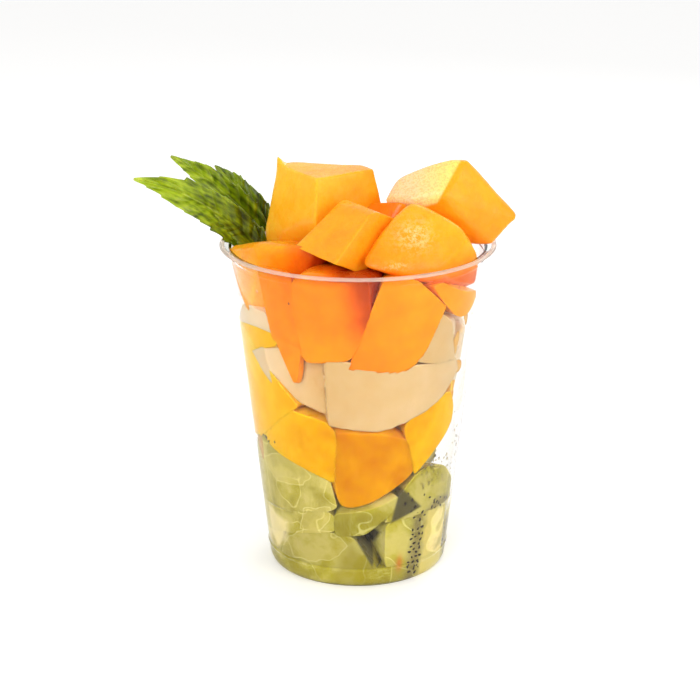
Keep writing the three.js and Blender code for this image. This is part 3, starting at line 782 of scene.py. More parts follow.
def soaked_at(points):
    """How far a place is inside the soaked one."""
    return within(points, SOAKED, 2.0, 0.7)


def spread(name):
    """How a chunk behind the others fills its place: one in the middle swells until it is just
    short of the wall, so that no empty gap shows between the chunks before it."""
    core = name.endswith("_core") and "heap" not in name
    return {"steps": 26, "swollen": 5.0 if core else 1.2, "confined": core}


SEEDS_TOUCH_WALL = 0.3 * MM
SEEDS_ABOVE = 3 * MM
SEEDS_KEPT = 0.8
SEED_SPACING = 1.65 * MM
SEED_SPACING_BEHIND = 2.2 * MM
seed_places = []


def seeds_in(piece, spacing, number):
    """Where the black seeds show: the piece's vertices at the wall whose distance from the core is
    within the ring, thinned in a shuffled order until none are nearer than the spacing, and one in
    five left out."""
    points = vertices_of(piece.data)
    fruit = np.empty(points.size)
    piece.data.attributes["fruit"].data.foreach_get("vector", fruit)
    from_core = np.hypot(fruit[::3], fruit[1::3])
    shown = (from_core > SEED_RING[0]) & (from_core < SEED_RING[1])
    shown &= (wall_distance(points) < SEEDS_TOUCH_WALL) & (points[:, 2] > SEEDS_ABOVE)
    chosen = []
    for k in np.random.default_rng(number).permutation(np.flatnonzero(shown)):
        if not chosen or np.linalg.norm(points[chosen] - points[k], axis=1).min() > spacing:
            chosen.append(k)
    kept = np.random.default_rng(number + 7).random(len(chosen)) < SEEDS_KEPT
    return points[np.array(chosen, int)[kept]]


TOWARDS_FRONT = (0, -1, 0.3)
for number, (name, (middle, axis, size, haze, dimness, swollen)) in enumerate(kiwi_chunks.items()):
    piece = chunk(
        name,
        kiwi_flesh,
        steps=60,
        rounding=0.45,
        relief=0.25,
        swollen=swollen,
        reach=[(UP, 1.2)] if name in UNDER_MANGO else [],
        fruit=fruit_frame(middle, axis, TOWARDS_FRONT, size),
        milky=haze,
        dim=lambda points: np.maximum(dim_places(points), dimness),
        film=filmed,
        soaked=soaked_at,
        cored=lambda points: 0.75 * within(points, CORED, 1.2, 0.7),
        stain=stained_at,
    )
    if name != "kiwi_core_left":
        seed_places.append(seeds_in(piece, SEED_SPACING, number))
# the fruits behind lie each another way, their cores up to 6 mm off the middle of a chunk
for number, name in enumerate(behind("kiwi", kiwi_chunks)):
    low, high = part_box(name)
    middle = np.array((low + high) / 2) + 6 * MM * np.sin(np.arange(3) * 2.1 + number * 1.7)
    piece = chunk(
        name,
        kiwi_flesh,
        rounding=0.6,
        relief=0.3,
        fruit=fruit_frame(middle, (np.sin(number * 2.3), np.cos(number * 1.9), 0.6), (0, 1, 0.2)),
        milky=0.2,
        # the core shows only in the gaps and is darkened with painted shade
        dim=0.5 if name == "kiwi_core" else 0.0,
        **spread(name),
    )
    seed_places.append(seeds_in(piece, SEED_SPACING_BEHIND, number + 50))

# The seeds: flat brown drops 1.7 mm long, that lie in the flesh and just come out against the wall.
SEED_SIZE = (1.7 * MM, 1.0 * MM, 0.56 * MM)
SEED_SUNK = 0.05 * MM
SEED_RINGS, SEED_SIDES = 5, 8


def ring_quads(rings, sides):
    """The quads between neighbouring rings, whose vertices are numbered ring by ring."""
    side = np.arange(sides)
    after = (side + 1) % sides
    start = np.arange(rings - 1)[:, None] * sides
    quads = np.stack([start + side, start + sides + side, start + sides + after, start + after], -1)
    return quads.reshape(-1, 4).tolist()


def drops(name, places, sizes, sunk, seed, finish, stand=None):
    """Pointed drops at places on the wall: each is a sphere of rings and sides, stretched to its
    length, breadth and thickness, narrowed to one end, turned about the direction out from the
    cup's axis by a random angle (or by stand), and sunk in from its place."""
    polar = np.linspace(0, np.pi, SEED_RINGS + 2)[1:-1, None]
    round_it = np.arange(SEED_SIDES) * 2 * np.pi / SEED_SIDES
    narrowed = np.sin(polar) * (1 - 0.3 * np.cos(polar))
    length = np.broadcast_to(np.cos(polar), (SEED_RINGS, SEED_SIDES))
    unit = np.stack([length, narrowed * np.cos(round_it), narrowed * np.sin(round_it)], axis=-1)
    unit = np.vstack([unit.reshape(-1, 3), [[1.15, 0, 0], [-1, 0, 0]]]) * np.array(sizes) / 2
    draw = np.random.default_rng(seed)
    out = np.column_stack([places[:, 0] - cup_axis, places[:, 1], np.zeros(len(places))])
    out /= np.linalg.norm(out, axis=1)[:, None]
    turn = draw.uniform(0, np.pi, len(out))[:, None] if stand is None else np.full((len(out), 1), stand)
    forward = np.cos(turn) * np.cross([0, 0, 1], out) + np.sin(turn) * np.array([0, 0, 1])
    basis = np.stack([forward, np.cross(out, forward), out], axis=1)
    size = draw.uniform(0.7, 1.05, (len(out), 1, 1))
    vertices = np.einsum("vk,skc->svc", unit, basis) * size + (places - sunk * out)[:, None]
    side = np.arange(SEED_SIDES)
    after = (side + 1) % SEED_SIDES
    last, tip = (SEED_RINGS - 1) * SEED_SIDES, SEED_RINGS * SEED_SIDES
    tips = np.stack([np.full(SEED_SIDES, tip), side, after], -1)
    ends = np.stack([np.full(SEED_SIDES, tip + 1), last + after, last + side], -1)
    each = ring_quads(SEED_RINGS, SEED_SIDES) + tips.tolist() + ends.tolist()
    faces = [[corner + k * len(unit) for corner in face] for k in range(len(places)) for face in each]
    piece = mesh_piece(name, vertices.reshape(-1, 3), faces, finish)
    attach(piece, "root")
    return piece


# Below the line in the wall the foot of the cup is full of the same flesh, crushed, and its juice.
PULP_LEVEL = 7.1 * MM
INTO_WALL = 0.025 * MM
# degrees from the front between which the pulp continues the chunk at the right, and not the left
SEAM = (22, 140)

pulp_profile = [
    *[[radius + (INTO_WALL if radius else 0), height - INTO_WALL] for radius, height in inner_foot[::-1]],
    *[[inner_radius(h) + INTO_WALL, h] for h in (HEEL_HEIGHT + WALL, 6.5 * MM, PULP_LEVEL + 0.5 * MM)],
    [inner_radius(PULP_LEVEL) - 0.4 * MM, PULP_LEVEL + 0.1 * MM],
    [inner_radius(PULP_LEVEL) - 1.5 * MM, PULP_LEVEL],
    [0, PULP_LEVEL],
]
pulp = turned("kiwi_pulp", pulp_profile, TURNS, kiwi_flesh)
places = vertices_of(pulp.data)
angle = np.degrees(bearing_of(places))
right, left = (
    fruit_frame(middle, axis, TOWARDS_FRONT, size)(places)
    for middle, axis, size, *_ in (kiwi_chunks["kiwi_base_right"], kiwi_chunks["kiwi_base_left"])
)
store(pulp, "fruit", np.where(((angle > SEAM[0]) & (angle < SEAM[1]))[:, None], right, left))
store(pulp, "wetted", 1.0)
store(pulp, "stain", stained_at(places))
store(pulp, "soaked", soaked_at(places))
seed_places.append(seeds_in(pulp, SEED_SPACING, 99))
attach(pulp, "root")


def grained(name, scale, detail, stops, finish):
    """A material whose colour follows fine noise, with plain values on its shader."""
    made, tree, shader = material(name)
    colour = ramp(tree, speckle(tree, object_place(tree), scale, detail), stops)
    fill(tree, shader, {"Base Color": colour, **finish})
    return made


kiwi_seed = grained(
    "kiwi_seed",
    2500.0,
    2.0,
    [(0.3, (24, 17, 14)), (0.7, (64, 48, 38))],
    {"Roughness": 0.4, "Specular IOR Level": 0.3},
)
# some have come loose and lie in the juice between the dome and the chunk under it
LOOSE = [
    (29.8, 36.3), (33, 33.4), (28.3, 32.5), (35.6, 30.3),
    (33, 28.7), (41.8, 34), (46.5, 32), (51.7, 30.1),
]
seed_places.append(np.array([at_wall(angle, height) for angle, height in LOOSE]))
seeds = drops("kiwi_seeds", np.vstack(seed_places), SEED_SIZE, SEED_SUNK, 5, kiwi_seed)

# ---- the mango ----
# Chunks of ripe mango, peeled and cut off the stone: golden and soft, with worn round edges and
# faint fibres, paler towards the side that lay under the skin.


def shade_of(tree, surface, **shares):
    """The tone kept at the vertices, plus a share of each of the surface's masks less an even part."""
    shade = attribute(tree, "tone")
    for mask, (share, less) in shares.items():
        even = maths(tree, "SUBTRACT", shade, less)
        shade = maths(tree, "MULTIPLY_ADD", surface.outputs[mask], share, even)
    return shade


def toned(start, direction, per_cm, middle):
    """A tone that changes steadily along a direction: start at the middle, plus so much for every
    centimetre."""
    direction = np.array(direction, float) / np.linalg.norm(direction)
    return lambda points: start + per_cm * ((points - middle) @ direction) * 100


def toned_chunks(rows, finish, **cut):
    """The chunks in a table, all cut alike, each with its own tone, swelling and reach."""
    for name, (start, direction, per_cm, middle, swollen, reach) in rows.items():
        tone = toned(start, direction, per_cm, middle)
        chunk(name, finish, swollen=swollen, reach=reach, tone=tone, **cut)


def chunks_behind(fruit, listed, finish, start, swing, **cut):
    """A fruit's chunks that no table lists, each with a tone that swings about a start and changes
    in a direction of its own."""
    for number, name in enumerate(behind(fruit, listed)):
        low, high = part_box(name)
        tone = start + swing * np.sin(number * 2.7)
        direction = (np.cos(number), np.sin(number), 1)
        tone = toned(tone, direction, 0.08, np.array((low + high) / 2))
        chunk(name, finish, tone=tone, **cut, **spread(name))


mango_flesh, tree, shader, surface = flesh(
    "mango_flesh", (1.0, 0.45, 0.08), 0.45, 0.08, 700.0, 0.22, 0.4, (1, 1, 0.5)
)
golden = ramp(
    tree,
    shade_of(tree, surface, Mottle=(0.45, 0.22), Cells=(0.16, 0.08)),
    [
        (0.0, (255, 232, 120)),
        (0.2, (254, 210, 60)),
        (0.45, (246, 184, 0)),
        (0.65, (224, 157, 0)),
        (0.85, (204, 126, 0)),
        (1.0, (190, 84, 0)),
    ],
)
fill(tree, shader, {"Base Color": golden, "Specular IOR Level": 0.2})

# the tone at a place, the way it changes, how much for each centimetre, the place, how far a chunk
# swells, and where it reaches over to its neighbour
mango_chunks = {
    "mango_wall_centre": (0.77, (-0.3, 0, 1), 0.02, at_wall(8, 48), 1.4, [(RIGHT, 1.5), (UP, 1.2)]),
    "mango_wall_left": (0.52, (1, 0, 0.4), 0.08, at_wall(-35, 56), 1.8, [((1, 0, -0.3), 2.6), (UP, 1.2)]),
    "mango_wall_right": (0.52, (-1, 0, 0.6), 0.1, at_wall(45, 58), 1.2, [((-1, 0, -0.3), 2.0), (UP, 1.0)]),
    "mango_far_left": (0.3, (1, -0.3, -0.4), 0.12, at_wall(-70, 74), 1.8, [(DOWN, 3.0), (UP, 3.0)]),
    "mango_slip_left": (0.36, RIGHT, 0.18, at_wall(-65, 90), 1.4, [(UP, 3.0), ((-0.5, -0.5, 0.7), 2.0)]),
    "mango_slip_right": (0.3, LEFT, 0.1, at_wall(60, 78), 0.8, []),
}
toned_chunks(mango_chunks, mango_flesh, steps=60, rounding=0.7, relief=0.3, smallest=0.05)
chunks_behind("mango", mango_chunks, mango_flesh, 0.5, 0.12, rounding=0.9, relief=0.35)

# ---- the melon ----
# Chunks of ripe white-fleshed melon: cream, almost clear at the edges, tan where orange juice has
# run down over them, with a fine wet grain.

melon_flesh, tree, shader, surface = flesh("melon_flesh", (1.0, 0.75, 0.45), 0.5, 0.15, 1000.0, 0.2, 0.42)
cream = ramp(
    tree,
    shade_of(tree, surface, Mottle=(0.3, 0.15)),
    [
        (0.0, (238, 216, 182)),
        (0.25, (220, 190, 144)),
        (0.5, (208, 176, 122)),
        (0.75, (200, 150, 84)),
        (1.0, (186, 118, 52)),
    ],
)
fill(tree, shader, {"Base Color": cream})

melon_chunks = {
    "melon_wall_right": (0.42, (-1, 0, 0.2), 0.05, at_wall(20, 75), 0.9, [(UP, 1.6), (DOWN, -0.6)]),
    "melon_wall_left": (0.36, (1, 0, 0.1), 0.2, at_wall(-38, 80), 2.0, [(UP, 0.6), ((-1, 0.3, 0), -3.0)]),
    "melon_far_left": (0.06, RIGHT, 0.12, at_wall(-65, 97), 1.2, []),
    "melon_far_right": (0.4, (-1, 0, 0.3), 0.2, at_wall(48, 92), 1.6, []),
    "melon_side": (0.3, LEFT, 0.1, at_wall(75, 88), 1.2, []),
}
toned_chunks(melon_chunks, melon_flesh, rounding=0.35, relief=0.15, smallest=0.08)
chunks_behind("melon", melon_chunks, melon_flesh, 0.2, 0.1, rounding=0.8, relief=0.3)

# ---- the papaya ----
# Knife-cut blocks of ripe papaya, in the top layer and heaped above the rim: orange, redder towards
# the seed side, yellow under the peel, and deep red as painted shade in the gaps and under the heap.
# Faces are flat and wet, corners sharp, some drawn to a point.

papaya_flesh, tree, shader, surface = flesh(
    "papaya_flesh", (1.0, 0.35, 0.06), 0.4, 0.2, 600.0, 0.18, 0.38, (1, 1, 0.6)
)
orange = ramp(
    tree,
    shade_of(tree, surface, Mottle=(0.26, 0.13), Cells=(0.1, 0.05)),
    [
        (0.0, (255, 236, 160)),
        (0.14, (254, 218, 96)),
        (0.32, (254, 184, 34)),
        (0.52, (252, 154, 26)),
        (0.7, (248, 126, 24)),
        (0.86, (218, 94, 24)),
        (1.0, (172, 62, 20)),
    ],
)
# the side that lay under the peel is pale and pitted, and yellower towards the right
place = object_place(tree)
pitted = ranged(tree, speckle(tree, place, 1500.0, 4.0), 0.46, 0.6, 0.0, 0.45)
yellower = ranged(tree, add(tree, "SeparateXYZ", {0: place}).outputs[0], 0.030, 0.046)
under_peel = mix(tree, yellower, (250, 214, 158), (252, 226, 112))
under_peel = mix(tree, pitted, under_peel, (226, 168, 84))
peeled = mix(tree, attribute(tree, "skin_side"), orange, under_peel)
# painted highlights: pale speckled spots where the wet cut faces catch the light
glint_speckle = ranged(tree, speckle(tree, place, 700.0, 5.0, 0.75), 0.45, 0.58, 0.0, 0.9)
glint_share = times(tree, times(tree, attribute(tree, "glint"), 0.8), glint_speckle)
fill(tree, shader, {"Base Color": mix(tree, glint_share, peeled, (255, 222, 156))})


def from_axis(x, y, z):
    """A place in millimetres from the cup's axis, in the part's frame."""
    return np.array([x, y, z]) * MM + [cup_axis, 0, 0]


def skin_face(points):
    """1 on the side of the skin wedge that lay under the skin, 0 on its cut sides: above the line
    that rises 0.26 from a height of 121 mm, and left of the edge that rises 2 for 1. Heights h are
    taken square to a slope of 18 degrees, that makes the edges straight."""
    x = (points[:, 0] - cup_axis) / MM
    h = (0.313 * points[:, 1] + 0.95 * points[:, 2]) / MM
    above = np.clip((h - 121.0 - 0.26 * (x - 10)) / 0.7, 0, 1)
    left = np.clip((28.0 + 0.55 * (h - 126.7) - x) / 0.7, 0, 1)
    return above * left


def shadowed_side(points):
    """How much redder the centre chunk is painted as shade towards its right side, from 8 degrees left
    of the front to 3 right of it and fading down the wall, and on its top under the heap."""
    angle = np.degrees(bearing_of(points))
    height = points[:, 2] / MM
    beyond = np.clip((angle + 8) / 11, 0, 1) * np.clip((height - 90) / 14, 0.15, 1)
    on_top = np.clip((height - 117) / 1, 0, 1) * np.clip((angle + 16) / 10, 0, 1)
    return 0.36 * np.maximum(beyond, on_top)


def glint_spots(points):
    """Where the rough, wet cut faces catch the light, painted as pale highlights: soft spots with a
    centre, a width and a height, exp(-(across / width)^2 - (up / height)^2)."""
    spots = ((19, -32, 130.5, 6, 5), (12, -37.5, 121.5, 4, 1.3), (0, -19, 136.5, 3.5, 3))
    total = np.zeros(len(points))
    for x, y, z, width, height in spots:
        away = (points - from_axis(x, y, z)) / MM
        near = (np.hypot(away[:, 0], away[:, 1]) / width) ** 2 + (away[:, 2] / height) ** 2
        total += np.exp(-near)
    return total


def shaded_under_slab(points):
    """The tone of the chunk at the left of the rim: even, then redder over its last 12 mm, painted
    shade where it runs in under the slab.
    """
    x = (points[:, 0] - cup_axis) / MM
    return 0.5 + 0.006 * (x + 35) + 0.4 * np.clip((x + 26) / 12, 0, 1)


def shaded_inside_rim(points):
    """The tone of the rounded chunk: a steady change, and redder as painted shade where it stands
    inside the rim.
    """
    inside_rim = np.clip((118 - points[:, 2] / MM) / 4, 0, 1)
    return toned(0.52, (-0.4, 0, -1), 0.1, at_wall(42, 124, 6))(points) + 0.22 * inside_rim


centre_tone = toned(0.63, (0.3, 0, 1), 0.02, at_wall(-12, 104))
WALL_CUT = {"rounding": 0.35, "relief": 0.15, "smallest": 0.04}
HEAP_CUT = {"rounding": 0.3, "relief": 0.18, "smallest": 0.1}
papaya_chunks = {
    "papaya_wall_centre": {
        **WALL_CUT,
        "swollen": 1.3,
        "tone": lambda points: centre_tone(points) + shadowed_side(points),
    },
    "papaya_wall_right": {
        **WALL_CUT,
        "swollen": 0.7,
        "reach": [((-1, 0, 0.2), 0.8)],
        "tone": toned(0.6, (-1, 0, -0.4), 0.04, at_wall(20, 100)),
    },
    "papaya_tongue": {**WALL_CUT, "swollen": 0.4, "tone": toned(0.6, DOWN, 0.02, at_wall(-33, 86))},
    # the chunk in the middle shows only in the gaps, where its deep red tone is painted shade
    "papaya_core": {"steps": 44, "rounding": 0.5, "swollen": 5.0, "confined": True, "tone": 0.95},
    "papaya_wall_left": {
        **WALL_CUT,
        "swollen": 1.3,
        "tone": toned(0.64, (1, 0, 0.3), 0.08, at_wall(-38, 104)),
    },
    "papaya_rim_left": {
        **WALL_CUT,
        "swollen": 1.0,
        "reach": [(DOWN, 2.5), ((1, 0, 0.2), 2.5)],
        "tone": shaded_under_slab,
    },
    "papaya_wall_far_right": {
        **WALL_CUT,
        "swollen": 1.6,
        "tone": toned(0.48, LEFT, 0.1, at_wall(55, 107)),
    },
    "papaya_heap_slab": {
        **HEAP_CUT,
        "swollen": 0.7,
        "reach": [(RIGHT, 0.5), ((-1, 0, -0.2), 1.2)],
        "tone": toned(0.5, (1, -0.4, -0.6), 0.03, at_wall(-2, 128, 20)),
        "glint": glint_spots,
    },
    "papaya_heap_rounded": {
        "rounding": 0.8,
        "relief": 0.25,
        "smallest": 0.02,
        "swollen": 0.9,
        "reach": [((-0.8, 0.3, 0.3), 1.0), ((-0.5, -0.5, -0.7), 1.5)],
        "tone": shaded_inside_rim,
        "glint": glint_spots,
    },
    "papaya_heap_cube": {
        **HEAP_CUT,
        "swollen": 0.5,
        "tone": toned(0.46, (0.8, 0.2, -0.6), 0.06, at_wall(-20, 131, 40)),
        "horns": [(from_axis(-28.3, 5.4, 146.2), from_axis(-28.6, 5.4, 149.2), 2.0)],
    },
    "papaya_heap_skin_wedge": {
        **HEAP_CUT,
        "smallest": 0.03,
        "swollen": 0.1,
        "reach": [((-0.25, -0.65, 0.72), 1.2), ((-0.4, 0.6, 0.6), 0.8)],
        "tone": toned(0.5, (-0.4, 0, -1), 0.06, at_wall(78, 136, 8)),
        "skin_side": skin_face,
        "horns": [(from_axis(53.5, -2.5, 129.0), from_axis(55.2, -2.5, 129.3), 1.2)],
    },
    # the chunks in the middle of the heap show only in its gaps, where their deep red tones are painted
    # shade
    "papaya_heap_middle": {
        **HEAP_CUT,
        "swollen": 0.8,
        "tone": toned(0.75, DOWN, 0.1, at_wall(20, 126, 30)),
    },
    "papaya_heap_core": {**HEAP_CUT, "swollen": 2.0, "tone": 0.85},
}
for name, settings in papaya_chunks.items():
    chunk(name, papaya_flesh, **{"steps": 60, "skin_side": 0.0, **settings})
behind_cut = {"rounding": 0.6, "relief": 0.3, "skin_side": 0.0}
chunks_behind("papaya", papaya_chunks, papaya_flesh, 0.62, 0.1, **behind_cut)

# A black papaya seed left on the flesh at the wall.
papaya_seed = grained(
    "papaya_seed", 1800.0, 3.0, [(0.3, (20, 16, 12)), (0.7, (70, 46, 26))], {"Roughness": 0.4}
)
PAPAYA_SEED_SIZE = (2.4 * MM, 1.1 * MM, 0.8 * MM)
stray_place = at_wall(-32.6, 108.2, -0.1)[None]
stray = drops("papaya_seed", stray_place, PAPAYA_SEED_SIZE, 0.25 * MM, 3, papaya_seed, stand=1.9)

# ---- the juice on the wall ----
# Where fruit slid down the inside of the cup it left films of orange and yellow juice, and small
# clear drops stand on the plastic above the kiwi and in the free places.

PATCH_RINGS, PATCH_SIDES = 6, 18


def patches(name, rows, finish):
    """Flat lenses on the inner wall. Each row is an angle, a height, a half width, a half height and
    a lean in degrees, and a thickness: rings r from 0 to 1 and sides a give the outline
    r (1 + w sin(2a + k) + w / 2 sin(3a + 2k)), with w 0.25 for a film and 0.06 for a drop, and the
    lens is thickness (1 - r^2)^0.5 deep."""
    ring = np.linspace(0, 1, PATCH_RINGS + 1)[1:, None]
    side = np.arange(PATCH_SIDES) * 2 * np.pi / PATCH_SIDES
    around = np.arange(PATCH_SIDES)
    after = (around + 1) % PATCH_SIDES
    hub = PATCH_RINGS * PATCH_SIDES
    rim = hub - PATCH_SIDES
    hubs = np.stack([np.full(PATCH_SIDES, hub), around, after], -1)
    band = np.stack([rim + around, hub + 1 + rim + around, hub + 1 + rim + after, rim + after], -1)
    inner = ring_quads(PATCH_RINGS, PATCH_SIDES) + hubs.tolist()
    outer = [[corner + hub + 1 for corner in face[::-1]] for face in inner]
    dome = np.sqrt(np.maximum(1 - ring**2, 0))
    vertices, faces = [], []
    for k, (angle, height, wide, tall, lean, thickness) in enumerate(rows):
        uneven = 0.25 * min(1, thickness / (0.3 * MM)) if wide > 1 else 0.06
        reach = ring * (1 + uneven * np.sin(2 * side + k) + 0.5 * uneven * np.sin(3 * side + 2 * k))
        aside, up = reach * np.cos(side) * wide * MM, reach * np.sin(side) * tall * MM
        tilt = np.radians(lean)
        aside, up = aside * np.cos(tilt) - up * np.sin(tilt), aside * np.sin(tilt) + up * np.cos(tilt)
        for depth in (thickness * dome - INTO_WALL, -2 * INTO_WALL + 0 * ring):
            top = depth.max() if depth.max() > 0 else -2 * INTO_WALL
            deep = np.append(np.broadcast_to(depth, aside.shape).ravel(), top)
            z = height * MM + np.append(up.ravel(), 0)
            radius = inner_radius(z) - deep
            turn = np.radians(angle) + np.append(aside.ravel(), 0) / radius
            vertices.append(np.column_stack([cup_axis + radius * np.sin(turn), -radius * np.cos(turn), z]))
        base = k * 2 * (hub + 1)
        faces += [[corner + base for corner in face[::-1]] for face in inner + outer + band.tolist()]
    piece = mesh_piece(name, np.vstack(vertices), faces, finish)
    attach(piece, "root")
    return piece


orange_juice = grained(
    "orange_juice",
    300.0,
    4.0,
    [(0.35, (255, 190, 90)), (0.65, (255, 216, 130))],
    {"Roughness": 0.1, "IOR": 1.34, "Transmission Weight": 0.5},
)
juice_rows = [
    (54, 90, 1.8, 4.0, 8, 0.3 * MM),
    (58, 80, 2.6, 3.4, -10, 0.3 * MM),
    (-69, 51, 2.2, 9.5, -5, 0.35 * MM),
    (61, 98, 1.4, 2.6, 4, 0.3 * MM),
    (150, 96, 2.4, 7.0, 5, 0.3 * MM),
    (-140, 70, 2.0, 6.0, -6, 0.3 * MM),
]
films = patches("juice_films", juice_rows, orange_juice)

clear_juice = grained(
    "clear_juice",
    400.0,
    2.0,
    [(0.3, (252, 250, 232)), (0.7, (255, 254, 246))],
    {"Roughness": 0.02, "IOR": 1.34, "Transmission Weight": 1.0},
)
# the angles and the heights between which drops are scattered, and how many
SCATTERED = [((38, 62), (36, 47), 70), ((62, 84), (12, 60), 40), ((-180, 180), (40, 112), 70)]
draw = np.random.default_rng(21)
scattered = [
    (draw.uniform(*angles), draw.uniform(*heights), size, size * draw.uniform(0.9, 1.3), 0, size * 0.45 * MM)
    for angles, heights, count in SCATTERED
    for size in draw.uniform(0.18, 0.6, count)
]
beads = patches("juice_drops", scattered, clear_juice)

# ---- the mint ----
# A sprig of fresh mint pushed in behind the fruit at the left, its stem hidden: long leaves folded
# along the midrib, toothed at the edge, grooved at the veins and puffed up between them.

LEAF_TEETH = 9
VEIN_LEAN = 1.5
TOOTH_DEPTH = 0.24
PUFF = 0.34 * MM
STALK = 0.45
MIDRIB = 0.35 * MM
# the number that keeps the noise on one leaf apart from the next
LEAF_APART = 40.0
GRID_ALONG, GRID_ACROSS = 180, 45


def leaf(base, bend, tip, half_width, facing, fold, seed):
    """One blade over u from stalk to tip and v from edge to edge: the spine's Bezier point, plus v
    times the width across it, plus a lift of fold |v| and a puff between the veins. A side vein is
    where u times the teeth less |v| times the lean is whole. Returns the points, how far each is on a
    vein, its place along and across the blade in millimetres, and the pucker noise along the veins,
    which also paints light on the leaf."""
    u = np.linspace(0, 1, GRID_ALONG)[:, None]
    v = np.linspace(-1, 1, GRID_ACROSS)[None]
    start, middle, end = (from_axis(*part) for part in (base, bend, tip))
    spine = (1 - u) ** 2 * start + 2 * u * (1 - u) * middle + u**2 * end
    forward = 2 * (1 - u) * (middle - start) + 2 * u * (end - middle)
    forward /= np.linalg.norm(forward, axis=1)[:, None]
    side = np.cross(forward, facing)
    side /= np.linalg.norm(side, axis=1)[:, None]
    face = np.cross(side, forward)
    uneven = 0.35 * np.sin(5.3 * u + seed) + 0.2 * np.sin(13.1 * u + 2 * seed) + 0.3 * np.sign(v)
    tooth = np.mod(u * LEAF_TEETH - VEIN_LEAN + uneven, 1)
    jagged = 0.6 + 0.4 * np.sin(9.7 * u + 3 * seed + np.sign(v))
    serrated = 1 + TOOTH_DEPTH * jagged * (tooth**1.6 - 0.6) * np.abs(v) ** 6 * np.clip(6 * u, 0, 1)
    broad = np.clip(u / 0.25, 0, 1) ** 0.6 * (1 - 0.35 * u) * np.clip((1 - u) / 0.3, 0, 1) ** 0.85
    width = (half_width * broad + STALK * (1 - 0.5 * u)) * MM
    phase = u * LEAF_TEETH - np.abs(v) ** 0.9 * VEIN_LEAN + uneven
    vein = np.abs(np.sin(np.pi * phase))
    swell = PUFF * vein**0.7 * (np.clip(4 * np.abs(v) * (1.05 - np.abs(v)), 0, 1)) ** 0.6
    swell = swell * np.clip(width / (3 * MM), 0, 1)
    curl = 0.5 * MM * np.sin(u * 17 + seed) * v**2
    across = v * serrated * width
    lift = fold * (1 + 0.25 * np.sin(seed + 3 * u)) * np.abs(v) * width + swell + curl
    points = spine[:, None] + across[..., None] * side[:, None] + lift[..., None] * face[:, None]
    points = points.reshape(-1, 3)
    along = np.broadcast_to(u * np.linalg.norm(end - start), lift.shape) / MM
    aside = np.abs(v) * width / MM
    apart = np.full(lift.shape, LEAF_APART * seed)
    veinwise = np.stack([(along - aside) / 1.7, (along + aside) / 7.0, apart + np.sign(v)], -1)
    pucker_and_light = noise(veinwise.reshape(-1, 3), 1.0, seed)
    crinkle = 0.3 * MM * pucker_and_light + 0.45 * MM * noise(points, 6 * MM, seed + 1)
    points = points + crinkle[:, None] * np.repeat(face, GRID_ACROSS, axis=0)
    rib = np.exp(-((v * width / MIDRIB) ** 2))
    faint = 0.5 + 0.5 * np.sin(7 * u + 4 * v + seed)
    veins = np.maximum(np.exp(-((vein / 0.16) ** 2)) * (1 - 0.6 * np.abs(v)) * faint, rib)
    blade = np.stack([along, v * width / MM, apart], axis=-1)
    return points, veins.ravel(), blade.reshape(-1, 3), pucker_and_light


# where each leaf starts, bends and ends, in millimetres from the cup's axis, half its width, the way
# it faces, and how sharply it is folded
LEAVES = [
    ((-36, 8.5, 113), (-50, 3.5, 135.5), (-78.6, 0, 142.3), 6.8, (0.1, -1, 0.3), 0.5),
    ((-34, 12, 120), (-46, 11, 136), (-66.5, 12, 147.8), 5.2, (0.2, -1, 0.4), 0.45),
    ((-33, 15, 123), (-40, 17, 133), (-51.5, 20, 142.6), 4.2, (0.1, -1, 0.6), 0.4),
    ((-34, 8, 113), (-42, 6, 125), (-54, 5.5, 134), 5.4, (0.4, -1, 0.1), 0.6),
    ((-32, 17, 121), (-38, 22, 131), (-50, 27, 137), 4.0, (0, -0.6, 1), 0.3),
]
i, j = np.meshgrid(np.arange(GRID_ALONG - 1), np.arange(GRID_ACROSS - 1), indexing="ij")
corner = (i * GRID_ACROSS + j).ravel()
blade_faces = np.stack([corner, corner + 1, corner + GRID_ACROSS + 1, corner + GRID_ACROSS], axis=-1)
blades = [leaf(*shape, seed) for seed, shape in enumerate(LEAVES)]

# the green is darker towards the stalk as painted shade, blotched along the blade, and lighter where
# the pucker noise is high, as painted light on the puckers
mint_leaf, tree, shader = material("mint_leaf")
blade = attribute(tree, "blade", "Vector")
along = times(tree, add(tree, "SeparateXYZ", {0: blade}).outputs[0], 0.022)
blotches = speckle(tree, stretched(tree, blade, (0.16, 0.7, 1.0)), 1.0, 3.0)
shade = maths(tree, "MULTIPLY_ADD", along, 0.5, times(tree, blotches, 1.3))
shade = maths(tree, "MULTIPLY_ADD", attribute(tree, "pucker_and_light"), 0.22, maths(tree, "SUBTRACT", shade, 0.5))
green = ramp(
    tree,
    shade,
    [(0.05, (46, 56, 0)), (0.3, (92, 106, 2)), (0.55, (134, 152, 8)), (0.9, (182, 196, 56))],
)
veined = mix(tree, times(tree, attribute(tree, "veins"), 0.28), green, (196, 204, 96))
fine = speckle(tree, object_place(tree), 1400.0, 3.0)
grain = add(tree, "Bump", {"Strength": 0.4, "Distance": 0.0003, "Height": fine})
fill(
    tree,
    shader,
    {
        "Base Color": veined,
        "Roughness": 0.3,
        "Normal": grain.outputs[0],
        "Subsurface Weight": 0.25,
        "Subsurface Radius": (0.6, 1.0, 0.15),
        "Subsurface Scale": 0.0015,
        "Specular IOR Level": 0.35,
    },
)

points, veins, places, puckers_and_light = zip(*blades)
mint_faces = [blade_faces + number * GRID_ALONG * GRID_ACROSS for number in range(len(blades))]
mint = mesh_piece("mint_leaves", np.vstack(points), np.vstack(mint_faces), mint_leaf)
store(mint, "veins", np.hstack(veins))
store(mint, "blade", np.vstack(places))
store(mint, "pucker_and_light", np.hstack(puckers_and_light))
thickness = mint.modifiers.new("blade", "SOLIDIFY")
thickness.thickness = 0.35 * MM
thickness.offset = 0
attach(mint, "root")
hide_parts("mint_sprig")

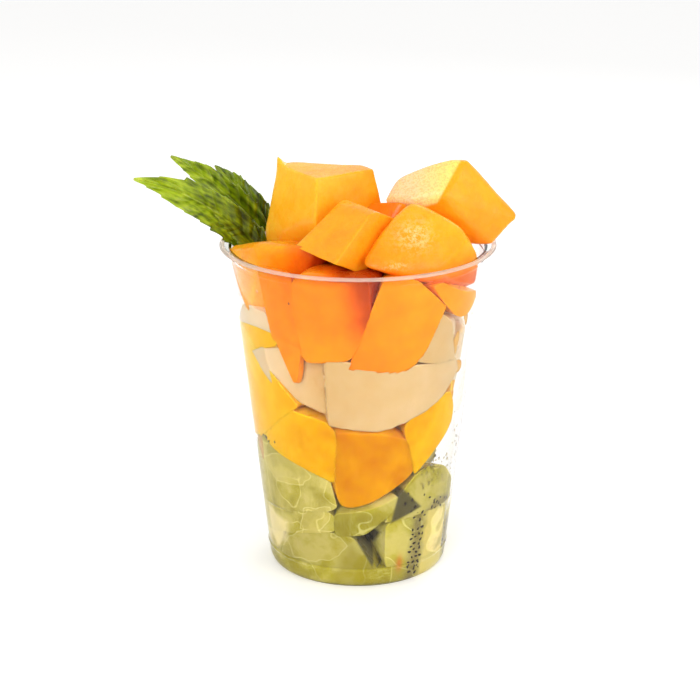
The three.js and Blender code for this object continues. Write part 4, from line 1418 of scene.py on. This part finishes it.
# ---- the floor, the light and the camera ----
# A plain white surface that runs out of sight, a white room, a soft light above the front left, a
# weaker one at the right and one behind for the glow in the flesh, and a long lens looking down.

floor_paint, tree, shader = material("floor_paint")
fill(tree, shader, {"Base Color": (0.9, 0.895, 0.885, 1), "Roughness": 0.9})
fill(tree, shader, {"Emission Color": (1, 1, 1, 1), "Emission Strength": 0.22})
floor = mesh_piece("floor", [[-4, -4, 0], [4, -4, 0], [4, 6, 0], [-4, 6, 0]], [[0, 1, 2, 3]], floor_paint)

world = bpy.data.worlds.new("white_room")
world.use_nodes = True
fill(world.node_tree, world.node_tree.nodes["Background"], {"Color": (1, 1, 1, 1), "Strength": 0.8})
bpy.context.scene.world = world

# square area lights: a place in metres, a size and a power, each turned to face the middle of the cup
LIT_FROM = {
    "key": ((-0.3, -0.8, 0.6), 0.45, 3.7),
    "fill": ((0.65, -0.5, 0.35), 0.45, 1.8),
    "back": ((0.3, 0.6, 0.55), 0.4, 1.5),
}
LIT_MIDDLE = np.array((0, 0, 0.08))
for name, (place, size, power) in LIT_FROM.items():
    light = bpy.data.lights.new(name, "AREA")
    light.size = size
    light.energy = power
    lamp = bpy.data.objects.new(name, light)
    bpy.context.scene.collection.objects.link(lamp)
    lamp.location = place
    lamp.rotation_euler = Vector(LIT_MIDDLE - place).to_track_quat("-Z", "Y").to_euler()

PITCH = np.radians(18.24)
CAMERA_DISTANCE = 0.7012
AIM_LEFT, AIM_HEIGHT = 2.8 * MM, 79.2 * MM
camera_data = bpy.data.cameras.new("camera")
camera_data.lens = 100
camera_data.sensor_width = 36
camera = bpy.data.objects.new("camera", camera_data)
bpy.context.scene.collection.objects.link(camera)
camera.location = (
    cup_axis - AIM_LEFT,
    -CAMERA_DISTANCE * np.cos(PITCH),
    AIM_HEIGHT + CAMERA_DISTANCE * np.sin(PITCH),
)
camera.rotation_euler = (np.pi / 2 - PITCH, 0, 0)
bpy.context.scene.camera = camera
bpy.context.scene.view_settings.view_transform = "Standard"
